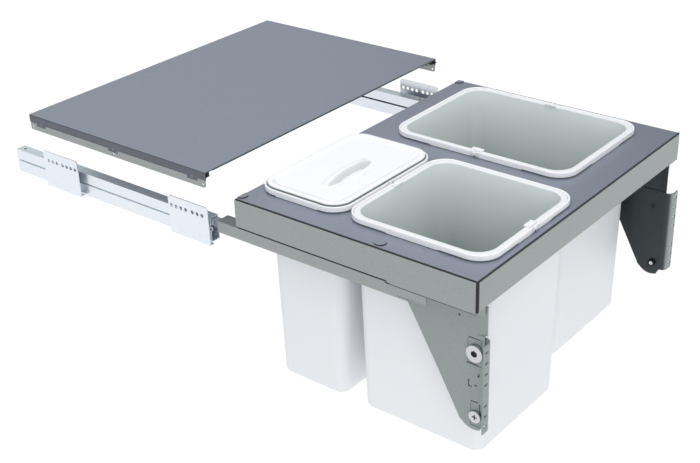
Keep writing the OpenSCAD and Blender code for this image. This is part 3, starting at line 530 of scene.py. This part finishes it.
# Polypropylene with a grained patch in the mould for the grip, and painted shade in soft grey on
# its front side
GRIP_SHADED_POLYPROPYLENE = ShadedMoulding(
    "polypropylene_moulded_grained", base="#F4F6F8", tint="#F1F4F6", roughness=0.6,
    metallic=0.0, grain_mm=0.7, grain_depth_mm=0.02, depth_mm=1.0, under_share=0.05
)
# Elastomer lip under the lid's edge, matt grey-green as painted shade: it draws the lid's outline
LIP_SHADE_ELASTOMER = MouldedPlastic(
    "elastomer_overmoulded_grey", base="#6B7977", tint="#667472", roughness=0.7,
    metallic=0.0, grain_mm=0.9, grain_depth_mm=0.01, depth_mm=0.3, under_share=0.0
)
# Polyamide for stops, seals and spacers: plain black with a dull skin
BLACK_POLYAMIDE = MouldedPlastic(
    "polyamide_moulded_black", base="#0A0B0D", tint="#101114", roughness=0.5,
    metallic=0.0, grain_mm=0.9, grain_depth_mm=0.01, depth_mm=0.2, under_share=0.0
)
# Buffers in the deck's colour on top, with painted shade in near black on their wall: only the wall
# shows dark
BUFFER_SHADE_POLYAMIDE = replace(
    LAVENDER_COAT, name="polyamide_moulded_capped", base="#15161A", tint="#1B1C20", painted_fold_shade=""
)

FINISHES: dict[Slot, Finish] = {
    Slot.ZINC: ROLLED_ZINC,
    Slot.GREY_STEEL: SILVER_COAT,
    Slot.DECK_STEEL: LAVENDER_COAT,
    Slot.BRIGHT_STEEL: TURNED_NICKEL,
    Slot.BIN_PLASTIC: MOULDED_POLYPROPYLENE,
    Slot.TRIM_PLASTIC: POLISHED_POLYPROPYLENE,
    Slot.BLACK_PLASTIC: BLACK_POLYAMIDE,
}
NODE_FINISHES: dict[str, Finish] = {
    "deck_buffers": BUFFER_SHADE_POLYAMIDE,
    "lid_plate": LID_HEM_SHADE_COAT,
    "left_gusset": LEFT_SHADED_GUSSET_COAT,
    "right_gusset": RIGHT_SHADED_GUSSET_COAT,
    "right_door_bracket": RIGHT_SHADED_GUSSET_COAT,
    "left_door_bracket": LEFT_SHADED_GUSSET_COAT,
    "left_cam": LEFT_CAM_NICKEL,
    "right_cam": RIGHT_CAM_NICKEL,
    "clamp_nuts": BLACK_PHOSPHATE_AND_SOCKET_SHADE,
}


class Shell:
    """Points and faces of one piece, in millimetres from the deck's front top edge."""

    def __init__(self) -> None:
        """Starts with no points."""
        self.points: list[Point] = []
        self.faces: list[tuple[int, ...]] = []
        self.inside: set[int] = set()

    def loft(
        self, loops: Sequence[Sequence[Point]], closed: bool = False, inside_rows: int = 0
    ) -> None:
        """Joins loops of equal length with quads.

        Args:
            loops: closed loops of points, in order.
            closed: joins the last loop to the first one, else both ends get a face.
            inside_rows: rows from the first one on that get the piece's inside finish.
        """
        start, n = len(self.points), len(loops[0])
        first = len(self.faces)
        for loop in loops:
            self.points.extend(tuple(p) for p in loop)
        rows = len(loops) if closed else len(loops) - 1
        for row in range(rows):
            a, b = start + row * n, start + (row + 1) % len(loops) * n
            self.faces.extend(
                (a + i, a + (i + 1) % n, b + (i + 1) % n, b + i) for i in range(n)
            )
        if not closed:
            last = start + (len(loops) - 1) * n
            self.inside.update(range(first, first + inside_rows * n))
            if inside_rows:
                self.inside.add(len(self.faces))
            self.faces.append(tuple(range(start, start + n))[::-1])
            self.faces.append(tuple(range(last, last + n)))

    def turned(
        self, profile: Sequence[Flat], centre: Point, axis: Axis, way: int = 1, steps: int = 48
    ) -> None:
        """Turns a profile of radius and height about an axis.

        Args:
            profile: radius and height of each point.
            centre: where height is zero.
            axis: the axis it turns about.
            way: one where height runs with the axis, minus one against it.
            steps: facets round it.
        """
        loops = []
        for r, h in profile:
            loop = []
            for i in range(steps):
                a = 2 * math.pi * i / steps
                u, v = r * math.cos(a), r * math.sin(a)
                offset = {
                    Axis.X: (way * h, u, v),
                    Axis.Y: (u, way * h, v),
                    Axis.Z: (u, v, way * h),
                }[axis]
                loop.append(tuple(c + d for c, d in zip(centre, offset)))
            loops.append(loop)
        self.loft(loops)

    def piece(
        self,
        name: str,
        slot: Slot,
        body: str,
        replaces: Iterable[str] = (),
        sharp: float = 40,
        lining: Finish | None = None,
        finish: Finish | None = None,
    ) -> bpy.types.Object:
        """Makes the Blender object, gives it its finish and lets it ride.

        Args:
            name: the object's name.
            slot: the record's slot that it takes its finish from.
            body: the body that it rides on.
            replaces: the nodes that it stands for.
            sharp: edges over this angle in degrees stay sharp.
            lining: the finish of its inside rows.
            finish: its own finish, where it isn't its slot's.

        Returns:
            The new object.
        """
        mesh = bpy.data.meshes.new(name)
        mesh.from_pydata([(Vector(p) + DECK_PLACE) * MM for p in self.points], [], self.faces)
        mesh.materials.append((finish or FINISHES[slot]).material())
        if lining:
            mesh.materials.append(lining.material())
            for number in self.inside:
                mesh.polygons[number].material_index = 1
        work = bmesh.new()
        work.from_mesh(mesh)
        bmesh.ops.remove_doubles(work, verts=work.verts, dist=WELD_M)
        bmesh.ops.recalc_face_normals(work, faces=work.faces)
        work.to_mesh(mesh)
        work.free()
        mesh.shade_smooth()
        mesh.set_sharp_from_angle(angle=math.radians(sharp))
        made = bpy.data.objects.new(name, mesh)
        bpy.context.scene.collection.objects.link(made)
        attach(made, body)
        if replaces:
            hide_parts(*replaces)
        log.info("%s: %d faces on %s", name, len(mesh.polygons), body)
        return made


@dataclass(frozen=True)
class Ring:
    """The outline of a bail ring, seen from above.

    Args:
        x0: left edge.
        y0: front edge.
        x1: right edge.
        y1: rear edge.
        corner: radius of its corners.
        least_r: the smallest radius that taking in leaves.
        least_side: half of the shortest straight side.
    """

    x0: float
    y0: float
    x1: float
    y1: float
    corner: float = 32.0
    least_r: float = 0.5
    least_side: float = 0.01

    def loop(
        self, inset: float, z: float, arc_steps: int = 12, side_steps: int = 6, fuller: float = 0.0
    ) -> list[Point]:
        """Gives the outline taken in by an inset, at one height.

        Args:
            inset: how far it is taken in.
            z: its height.
            arc_steps: steps round each corner.
            side_steps: steps along each side.
            fuller: added to the corner radius.

        Returns:
            A closed loop of points.
        """
        x0, y0, x1, y1 = self.x0 + inset, self.y0 + inset, self.x1 - inset, self.y1 - inset
        r = max(self.corner - inset, self.least_r) + fuller
        r = min(r, (x1 - x0) / 2 - self.least_side, (y1 - y0) / 2 - self.least_side)
        centres = [
            (x1 - r, y0 + r, -90), (x1 - r, y1 - r, 0), (x0 + r, y1 - r, 90), (x0 + r, y0 + r, 180)
        ]
        flat: list[Flat] = []
        for i, (cx, cy, a0) in enumerate(centres):
            for k in range(arc_steps + 1):
                a = math.radians(a0 + 90 * k / arc_steps)
                flat.append((cx + r * math.cos(a), cy + r * math.sin(a)))
            nx, ny, na = centres[(i + 1) % len(centres)]
            last = flat[-1]
            first = (nx + r * math.cos(math.radians(na)), ny + r * math.sin(math.radians(na)))
            for k in range(1, side_steps):
                s = k / side_steps
                flat.append(tuple(p + (q - p) * s for p, q in zip(last, first)))
        return [(x, y, z) for x, y in flat]

    @property
    def middle(self) -> Flat:
        """The ring's middle."""
        return ((self.x0 + self.x1) / 2, (self.y0 + self.y1) / 2)


@dataclass
class WasteBin:
    """A lift-out bin: a tapered shell whose rim hangs on the deck.

    Args:
        name: the node's name.
        body: its body.
        ring: outline of its bail ring.
        pivots: the axis its bails turn on.
    """

    name: str
    body: str
    ring: Ring
    pivots: Axis
    lip_inset: float = 3.4
    lip_t: float = 2.0
    rim_top: float = 8.2
    rim_t: float = 2.0
    edge_r: float = 1.0
    mouth_r: float = 1.6
    wall_inset: float = 8.2
    wall: float = 2.4
    taper: float = 6.5
    height: float = 301.0
    floor_t: float = 3.0
    floor_r: float = 9.0
    mouth_fuller: float = 6.0
    mouth_step: float = 0.2
    bevel: float = 0.3
    arc_steps: int = 5
    knots: tuple[float, ...] = (-200.0, -100.0, -20.0)
    pin_r: float = 1.5
    pin_head_r: float = 2.6
    pin_head_t: float = 0.6
    pin_play: float = 0.1
    pin_z: float = 4.75
    pin_offset: float = 4.5
    pin_bevel: Flat = (0.3, 0.2)
    pin_root: float = 1.0
    pin_steps: int = 20

    def wall_at(self, z: float) -> float:
        """Gives the outer wall's inset at a height."""
        return self.wall_inset - self.taper * z / self.height

    def profile(self) -> list[Flat]:
        """Gives inset and height from the inner floor over the rim to the outer floor.

        Returns:
            The points in order.
        """
        inner_floor = -self.height + self.floor_t
        inner = self.wall_at(inner_floor) + self.wall
        outer = self.wall_at(-self.height)
        turn = [math.radians(90 * i / self.arc_steps) for i in range(self.arc_steps + 1)]
        r, m, e, b = self.floor_r, self.mouth_r, self.edge_r, self.bevel
        mouth = self.wall_inset + self.wall - self.mouth_step
        points = [(inner + r, inner_floor)]
        points += [
            (inner + r - r * math.sin(a), inner_floor + r - r * math.cos(a)) for a in turn[1:]
        ]
        points += [(self.wall_at(z) + self.wall, z) for z in self.knots]
        points += [
            (mouth - m + m * math.cos(a), self.rim_top - m + m * math.sin(a)) for a in turn
        ]
        points += [
            (self.lip_inset + e - e * math.sin(a), self.rim_top - e + e * math.cos(a))
            for a in turn
        ]
        points += [
            (self.lip_inset, b),
            (self.lip_inset + b, 0.0),
            (self.lip_inset + self.lip_t - b, 0.0),
            (self.lip_inset + self.lip_t, b),
            (self.lip_inset + self.lip_t, self.rim_top - self.rim_t),
            (self.wall_inset, self.rim_top - self.rim_t),
        ]
        points += [(self.wall_at(z), z) for z in reversed(self.knots)]
        points += [
            (outer + r - r * math.cos(a), -self.height + r - r * math.sin(a)) for a in turn
        ]
        return points

    def pins(self, shell: Shell) -> None:
        """Adds the four pins that the bails hang on.

        Args:
            shell: the bin's shell.
        """
        xm, ym = self.ring.middle
        end = -self.pin_play - self.pin_head_t
        profile = [
            (self.pin_head_r - self.pin_bevel[0], end),
            (self.pin_head_r, end + self.pin_bevel[1]),
            (self.pin_head_r, -self.pin_play),
            (self.pin_r, -self.pin_play),
            (self.pin_r, self.lip_inset + self.pin_root),
        ]
        for way in (-1, 1):
            offset = way * self.pin_offset
            for side in (1, -1):
                if self.pivots is Axis.X:
                    centre = (self.ring.x0 if side > 0 else self.ring.x1, ym + offset, self.pin_z)
                else:
                    centre = (xm + offset, self.ring.y0 if side > 0 else self.ring.y1, self.pin_z)
                shell.turned(profile, centre, self.pivots, side, self.pin_steps)

    def build(self) -> bpy.types.Object:
        """Moulds the bin.

        Returns:
            The bin's object.
        """
        shell = Shell()
        inside = 1 + self.arc_steps + len(self.knots) + 1
        mouth = inside + self.arc_steps
        loops = [
            self.ring.loop(d, z, fuller=self.mouth_fuller if i < mouth else 0.0)
            for i, (d, z) in enumerate(self.profile())
        ]
        shell.loft(loops, inside_rows=inside)
        self.pins(shell)
        return shell.piece(
            f"{self.name}_shell", Slot.BIN_PLASTIC, self.body, [self.name],
            lining=DEPTH_SHADED_POLYPROPYLENE
        )


@dataclass
class Bail:
    """One half of a bail ring: a strap with an eye at each end.

    Args:
        name: the node's name.
        body: its body.
        ring: outline of the ring.
        pivots: the axis it turns on.
        way: one for the half at the far end of the other axis, minus one for the near one.
        margin: distance from a corner to where the strap reaches lower.
    """

    name: str
    body: str
    ring: Ring
    pivots: Axis
    way: int
    margin: float = 71.0
    strap_t: float = 3.0
    top: float = 9.0
    low: float = 0.5
    corner_low: float = 1.6
    ramp: float = 3.0
    edge_r: float = 1.0
    eye_r: float = 4.25
    eye_z: float = 4.75
    eye_offset: float = 4.5
    eye_bevel: float = 0.35
    eye_steps: int = 28
    hole_r: float = 1.6
    bevel: float = 0.3
    edge_steps: int = 3
    corner_steps: int = 10
    leg_steps: tuple[float, float, float] = (1.0, 1.5, 2.0)

    def stations(self) -> list[tuple[float, float, float, float, float]]:
        """Gives the strap's path as a U, from one eye to the other.

        Returns:
            Along the pivot axis, away from the pivots, inward normal (two), low edge.
        """
        g = self.ring
        along = (g.x0, g.x1) if self.pivots is Axis.X else (g.y0, g.y1)
        across = (g.y0, g.y1) if self.pivots is Axis.X else (g.x0, g.x1)
        u0, u1 = along
        reach = (across[1] - across[0]) / 2
        start = self.eye_offset
        r = g.corner
        first, second, third = (start + step for step in self.leg_steps)
        legs = sorted({start, first, max(reach - self.margin - self.ramp, second),
                       max(reach - self.margin, third), reach - r})
        out: list[tuple[float, float, float, float, float]] = []

        def low_at(v: float) -> float:
            """Gives the strap's low edge at a distance from the pivots."""
            run = (v - (reach - self.margin - self.ramp)) / self.ramp
            return self.low + (self.corner_low - self.low) * min(max(run, 0.0), 1.0)

        for v in legs:
            out.append((u0, v, 1.0, 0.0, low_at(v)))
        steps = self.corner_steps
        for k in range(1, steps + 1):
            a = math.radians(90 * k / steps)
            out.append((u0 + r - r * math.cos(a), reach - r + r * math.sin(a),
                        math.cos(a), -math.sin(a), self.corner_low))
        m, q = self.margin, self.ramp
        for u, low in (
            (u0 + m, self.corner_low), (u0 + m + q, self.low),
            ((u0 + u1) / 2, self.low),
            (u1 - m - q, self.low), (u1 - m, self.corner_low),
        ):
            out.append((u, reach, 0.0, -1.0, low))
        for k in range(steps + 1):
            a = math.radians(90 - 90 * k / steps)
            out.append((u1 - r + r * math.cos(a), reach - r + r * math.sin(a),
                        -math.cos(a), -math.sin(a), self.corner_low))
        for v in reversed(legs[:-1]):
            out.append((u1, v, -1.0, 0.0, low_at(v)))
        return out

    def section(self, low: float) -> list[Flat]:
        """Gives the strap's cross-section as inset and height.

        Args:
            low: height of its lower edge.

        Returns:
            A closed outline with rounded upper edges.
        """
        e, t, b = self.edge_r, self.strap_t, self.bevel
        arcs = [math.radians(90 * i / self.edge_steps) for i in range(self.edge_steps + 1)]
        outline = [(b, low), (0.0, low + b)]
        outline += [(e - e * math.cos(a), self.top - e + e * math.sin(a)) for a in arcs]
        outline += [(t - e + e * math.sin(a), self.top - e + e * math.cos(a)) for a in arcs]
        outline += [(t, low + b), (t - b, low)]
        return outline

    def world(self, u: float, v: float, z: float) -> Point:
        """Turns a place on the U to the unit's own axes.

        Args:
            u: along the pivot axis.
            v: away from the pivots.
            z: height.

        Returns:
            The point.
        """
        xm, ym = self.ring.middle
        if self.pivots is Axis.X:
            return (u, ym + self.way * v, z)
        return (xm + self.way * v, u, z)

    def build(self) -> bpy.types.Object:
        """Moulds the strap and its two eyes.

        Returns:
            The bail's object.
        """
        shell = Shell()
        loops = []
        for u, v, nu, nv, low in self.stations():
            loops.append([self.world(u + nu * d, v + nv * d, z) for d, z in self.section(low)])
        shell.loft(loops)
        g = self.ring
        ends = (g.x0, g.x1) if self.pivots is Axis.X else (g.y0, g.y1)
        c, t = self.eye_bevel, self.strap_t
        eye = [(self.hole_r, 0.0), (self.eye_r - c, 0.0), (self.eye_r, c), (self.eye_r, t - c),
               (self.eye_r - c, t), (self.hole_r, t)]
        for end, way in ((ends[0], 1), (ends[1], -1)):
            centre = self.world(end, self.eye_offset, self.eye_z)
            self.tube(shell, eye, centre, way)
        return shell.piece(f"{self.name}_strap", Slot.TRIM_PLASTIC, self.body, [self.name])

    def tube(self, shell: Shell, profile: Sequence[Flat], centre: Point, way: int) -> None:
        """Turns a closed profile about the pivot axis.

        Args:
            shell: the bail's shell.
            profile: radius and height of each point, round a closed section.
            centre: where height is zero.
            way: one where height runs with the axis.
        """
        loops = []
        for i in range(self.eye_steps):
            a = 2 * math.pi * i / self.eye_steps
            loop = []
            for r, h in profile:
                u, v = r * math.cos(a), r * math.sin(a)
                offset = (way * h, u, v) if self.pivots is Axis.X else (u, way * h, v)
                loop.append(tuple(c + d for c, d in zip(centre, offset)))
            loops.append(loop)
        shell.loft(loops, closed=True)


@dataclass
class SmallLid:
    """The small bin's lid: a raised border, a shallow tray, a hollow and a grip.

    Args:
        name: the node's name.
        body: its body.
        ring: outline of the bin's bail ring.
    """

    name: str
    body: str
    ring: Ring
    inset: float = 4.0
    low: float = 8.4
    top: float = 13.0
    border: float = 6.0
    recess: float = 2.4
    edge_r: float = 1.8
    slope: float = 7.0
    under: float = 1.9
    plug_inset: float = 11.8
    plug_t: float = 1.8
    plug_low: float = -6.0
    plug_bevel: float = 0.4
    root: Flat = (0.2, 0.3)
    foot: Flat = (0.6, 0.5)
    under_run: float = 30.0
    under_middle: float = 2.0
    top_middle: float = 0.6
    corner_steps: int = 10
    side_steps: int = 44
    edge_steps: int = 6
    mesh_step: float = 1.0
    sharp: float = 55.0
    grip_share: Flat = (0.43, 0.42)
    grip_length: float = 100.0
    grip_front: float = 8.0
    grip_back: float = 12.0
    grip_rise: float = 11.0
    grip_sink: float = 0.4
    grip_crown: float = 0.7
    grip_ends: float = 0.55
    hollow_half: Flat = (42.0, 12.0)
    hollow_depth: float = 3.0
    hollow_step: float = 12.0
    shade_lip_inset: Flat = (3.3, 6.0)
    shade_lip_z: Flat = (8.9, 10.6)

    def from_grip(self, x: float, y: float) -> Flat:
        """Gives a place's distances from the grip's middle.

        Args:
            x: place across the unit.
            y: place into the cabinet.

        Returns:
            The distances across and into the cabinet.
        """
        g, (across, into) = self.ring, self.grip_share
        return (x - (g.x0 + across * (g.x1 - g.x0)), y - (g.y0 + into * (g.y1 - g.y0)))

    def surface(self, x: float, y: float, inset: float) -> float:
        """Gives the height of the lid's top face.

        Args:
            x: place across the unit.
            y: place into the cabinet.
            inset: distance from the lid's edge.

        Returns:
            The height.
        """
        ramp = min(max((inset - self.inset - self.border) / self.slope, 0.0), 1.0)
        z = self.top - self.recess * ramp * ramp * (3 - 2 * ramp)
        dx, dy = self.from_grip(x, y)
        hx, hy = self.hollow_half
        hollow = (dx / hx) ** 2 + ((dy + self.hollow_step) / hy) ** 2
        if hollow < 1:
            z -= self.hollow_depth * (1 - hollow) ** 2 * (1 + hollow)
        s = dx / (self.grip_length / 2)
        if abs(s) < 1:
            span = math.sqrt(1 - s * s)
            reach = self.grip_back if dy > 0 else self.grip_front
            across = dy / (reach * (self.grip_ends + (1 - self.grip_ends) * span))
            if abs(across) < 1:
                ridge = (1 - across * across) ** self.grip_crown
                crest = self.grip_rise * span * ridge - self.grip_sink
                z = max(z, self.top - self.recess + crest)
        return z

    def build(self) -> bpy.types.Object:
        """Moulds the lid.

        Returns:
            The lid's object.
        """
        shell = Shell()
        ring, e, b = self.ring, self.edge_r, self.plug_bevel
        grid = (self.corner_steps, self.side_steps)
        depth = (ring.y1 - ring.y0) / 2
        inner = self.plug_inset + self.plug_t
        plate_low = self.top - self.recess - self.under
        rim = [
            (depth - self.under_middle, plate_low),
            (inner + self.under_run, plate_low),
            (inner + self.root[0], plate_low),
            (inner, plate_low - self.root[1]),
            (inner, self.plug_low + b),
            (inner - b, self.plug_low),
            (self.plug_inset + b, self.plug_low),
            (self.plug_inset, self.plug_low + b),
            (self.plug_inset, self.low),
            (self.inset + self.foot[0], self.low),
            (self.inset, self.low + self.foot[1]),
        ]
        for i in range(self.edge_steps + 1):
            a = math.radians(90 * i / self.edge_steps)
            rim.append((self.inset + e - e * math.cos(a), self.top - e + e * math.sin(a)))
        loops = [ring.loop(d, z, *grid) for d, z in rim]
        inset = self.inset + e + self.mesh_step
        while inset < depth - self.top_middle:
            loop = ring.loop(inset, 0.0, *grid)
            loops.append([(x, y, self.surface(x, y, inset)) for x, y, _ in loop])
            inset += self.mesh_step
        shell.loft(loops)
        shell.inside = {i for i, f in enumerate(shell.faces) if self.in_grip(shell, f)}
        self.shade_lip()
        return shell.piece(
            f"{self.name}_moulding", Slot.TRIM_PLASTIC, self.body, [self.name], self.sharp,
            lining=GRIP_SHADED_POLYPROPYLENE
        )

    def in_grip(self, shell: Shell, face: Sequence[int]) -> bool:
        """Tells whether a face lies on the grip, which is grained and gets painted shade on its
        front side.

        Args:
            shell: the lid's shell.
            face: the face's point numbers.

        Returns:
            Whether it does.
        """
        x, y, z = (sum(shell.points[i][k] for i in face) / len(face) for k in range(3))
        dx, dy = self.from_grip(x, y)
        return z > self.low and abs(dx) < self.grip_length / 2 and abs(dy) < self.grip_front

    def shade_lip(self) -> None:
        """Moulds the lip under the lid's edge, grey-green as painted shade."""
        shell = Shell()
        (d0, d1), (z0, z1) = self.shade_lip_inset, self.shade_lip_z
        section = ((d1, z0), (d1, z1), (d0, z1), (d0, z0))
        shell.loft([self.ring.loop(d, z) for d, z in section], closed=True)
        shell.piece(
            f"{self.name}_gasket", Slot.BLACK_PLASTIC, self.body, finish=LIP_SHADE_ELASTOMER
        )


@dataclass
class SocketShades:
    """Near-black discs on the floors of the adjusters' and clamp screws' tool sockets, as painted
    shade.

    Args:
        side: the side of the unit.
    """

    side: Side
    cam_place: Flat = (15.6, -117.6)
    cam_floor: Flat = (254.9, 255.3)
    cam_r: float = 4.2
    clamp_place: Flat = (14.0, -214.0)
    clamp_floor: Flat = (254.35, 254.75)
    clamp_r: float = 3.9
    steps: int = 24

    def build(self) -> None:
        """Turns both discs of painted shade and seats them on the floors of their sockets."""
        label = self.side.name.lower()
        for name, body, place, floor, r in (
            ("cam", f"{label}_adjuster", self.cam_place, self.cam_floor, self.cam_r),
            ("clamp", "pullout_frame", self.clamp_place, self.clamp_floor, self.clamp_r),
        ):
            shell = Shell()
            centre = (self.side.value * floor[0], *place)
            depth = floor[1] - floor[0]
            shell.turned([(r, 0.0), (r, depth)], centre, Axis.X, self.side.value, self.steps)
            shell.piece(
                f"{label}_{name}_socket_painted_shade", Slot.BRIGHT_STEEL, body, finish=BLACK_PHOSPHATE_AND_SOCKET_SHADE
            )


@dataclass
class SheetMetal:
    """The frame's own nodes, which keep their shape and get their finish."""

    finishes: dict[Slot, Finish] = field(default_factory=lambda: FINISHES)

    def dress(self) -> None:
        """Gives every node of the frame the finish of its slot."""
        for sub in frame["record"]["subparts"]:
            node = frame["nodes"][sub["node"]]
            finish = NODE_FINISHES.get(sub["node"], self.finishes[Slot(sub["material_slot"])])
            node.data.materials.clear()
            node.data.materials.append(finish.material())


@dataclass
class Studio:
    """The floor, the lights and the camera."""

    floor_z: float = -520.0
    floor_half: float = 6000.0
    floor_light: float = 1.02
    low_sky: str = "#A9ADB3"
    high_sky: str = "#FFFFFF"
    sky_strength: float = 1.0
    sky_band: Flat = (0.15, 0.8)
    dusk: str = "#262C34"
    dusk_band: Flat = (0.74, 0.88)
    box_watts: float = 18.0
    top_box: Point = (-400.0, 0.0, 2600.0)
    top_box_size: float = 2400.0
    top_box_aim: Point = (0.0, 400.0, 0.0)
    front_box: Point = (-2300.0, -2000.0, 1000.0)
    front_box_size: float = 2000.0
    front_box_aim: Point = (0.0, 200.0, 0.0)
    camera_place: Point = (-1359.07, -690.98, 739.89)
    azimuth: float = -50.78526857
    elevation: float = 27.54914604
    roll: float = -1.92137987
    lens: float = 63.81
    sensor: float = 36.0
    far: float = 50000.0

    def camera(self) -> None:
        """Puts the camera at the photograph's place."""
        a, e, r = (math.radians(v) for v in (self.azimuth, self.elevation, self.roll))
        back = Vector((math.sin(a) * math.cos(e), -math.cos(a) * math.cos(e), math.sin(e)))
        level = (-back).cross(Vector((0, 0, 1))).normalized()
        upright = level.cross(-back)
        right = level * math.cos(r) + upright * math.sin(r)
        up = upright * math.cos(r) - level * math.sin(r)
        data = bpy.data.cameras.new("camera")
        data.lens = self.lens
        data.sensor_width = self.sensor
        data.clip_end = self.far * MM
        made = bpy.data.objects.new("camera", data)
        turn = Matrix((right, up, back)).transposed().to_4x4()
        made.matrix_world = Matrix.Translation((Vector(self.camera_place) + DECK_PLACE) * MM) @ turn
        bpy.context.scene.collection.objects.link(made)
        bpy.context.scene.camera = made

    def floor(self) -> None:
        """Lays a pale floor that glows like a lit sweep."""
        h = self.floor_half
        mesh = bpy.data.meshes.new("studio_floor")
        corners = [Vector((x, y, self.floor_z)) for x, y in ((-h, -h), (h, -h), (h, h), (-h, h))]
        mesh.from_pydata([(c + DECK_PLACE) * MM for c in corners], [], [(0, 1, 2, 3)])
        made = bpy.data.objects.new("studio_floor", mesh)
        bpy.context.scene.collection.objects.link(made)
        # Paper sweep, lit evenly: a clean white without a shadow on it
        material = bpy.data.materials.new("paper_sweep_lit_white")
        material.use_nodes = True
        tree = material.node_tree
        tree.nodes.clear()
        glow = add_node(tree, "ShaderNodeEmission", Strength=self.floor_light)
        out = add_node(tree, "ShaderNodeOutputMaterial")
        tree.links.new(glow.outputs["Emission"], out.inputs["Surface"])
        mesh.materials.append(material)

    def sky(self) -> None:
        """Lights the scene softly from above, less from far right, before a pale backdrop."""
        world = bpy.data.worlds.new("studio")
        bpy.context.scene.world = world
        world.use_nodes = True
        tree = world.node_tree
        tree.nodes.clear()
        place = add_node(tree, "ShaderNodeTexCoord").outputs["Generated"]
        way = add_node(tree, "ShaderNodeSeparateXYZ", Vector=place)
        colour: bpy.types.NodeSocket | str = self.low_sky
        for axis, (start, end), over in (
            (Axis.Z, self.sky_band, self.high_sky), (Axis.X, self.dusk_band, self.dusk)
        ):
            share = add_node(
                tree, "ShaderNodeMapRange", Value=way.outputs[axis.value],
                From_Min=start, From_Max=end,
            )
            colour = blend(tree, colour, over, share.outputs["Result"])
        shade = add_node(
            tree, "ShaderNodeBackground", Color=colour, Strength=self.sky_strength
        )
        backdrop = add_node(
            tree, "ShaderNodeBackground", Color=linear(self.high_sky), Strength=self.floor_light
        )
        seen = add_node(tree, "ShaderNodeLightPath").outputs["Is Camera Ray"]
        both = add_node(tree, "ShaderNodeMixShader", Fac=seen)
        tree.links.new(shade.outputs["Background"], both.inputs[FIRST_SHADER])
        tree.links.new(backdrop.outputs["Background"], both.inputs[SECOND_SHADER])
        out = add_node(tree, "ShaderNodeOutputWorld")
        tree.links.new(both.outputs["Shader"], out.inputs["Surface"])

    def light(self, name: str, place: Point, size: float, aim: Point) -> None:
        """Hangs a soft box.

        Args:
            name: the light's name.
            place: where it hangs.
            size: length of its sides.
            aim: the point that it faces.
        """
        data = bpy.data.lights.new(name, "AREA")
        data.shape = "SQUARE"
        data.size = size * MM
        data.energy = self.box_watts
        made = bpy.data.objects.new(name, data)
        made.location = Vector(place) * MM
        facing = (Vector(aim) - Vector(place)).normalized()
        made.rotation_euler = facing.to_track_quat("-Z", "Y").to_euler()
        bpy.context.scene.collection.objects.link(made)

    def build(self) -> None:
        """Sets up the studio."""
        self.camera()
        self.floor()
        self.sky()
        self.light("top_soft_box", self.top_box, self.top_box_size, self.top_box_aim)
        self.light("front_soft_box", self.front_box, self.front_box_size, self.front_box_aim)
        view = bpy.context.scene.view_settings
        view.view_transform = "Standard"
        view.look = "None"
        log.info("studio ready")


LARGE_RING = Ring(25.0, 51.0, 251.0, 353.0)
MEDIUM_RING = Ring(-238.5, 11.0, -12.5, 237.0)
SMALL_RING = Ring(-238.5, 241.5, -12.5, 390.0)
SMALL_MARGIN = 36.0


def main() -> None:
    """Builds the unit's pieces in order and dresses the frame."""
    SheetMetal().dress()
    for name, ring, pivots in (
        ("large", LARGE_RING, Axis.X),
        ("medium", MEDIUM_RING, Axis.Y),
        ("small", SMALL_RING, Axis.Y),
    ):
        WasteBin(f"{name}_bin", f"{name}_bin_body", ring, pivots).build()
    for name, way in (("front", -1), ("rear", 1)):
        Bail(f"large_{name}_bail", f"large_bail_{name}", LARGE_RING, Axis.X, way).build()
    for name, way in (("left", -1), ("right", 1)):
        Bail(f"medium_{name}_bail", f"medium_bail_{name}", MEDIUM_RING, Axis.Y, way).build()
        Bail(
            f"small_{name}_bail", f"small_bail_{name}", SMALL_RING, Axis.Y, way, SMALL_MARGIN
        ).build()
    SmallLid("small_bin_lid", "small_lid", SMALL_RING).build()
    for side in Side:
        SocketShades(side).build()
    Studio().build()


if __name__ == "__main__":
    logging.basicConfig(level=logging.INFO, format="%(name)s: %(message)s")
    main()
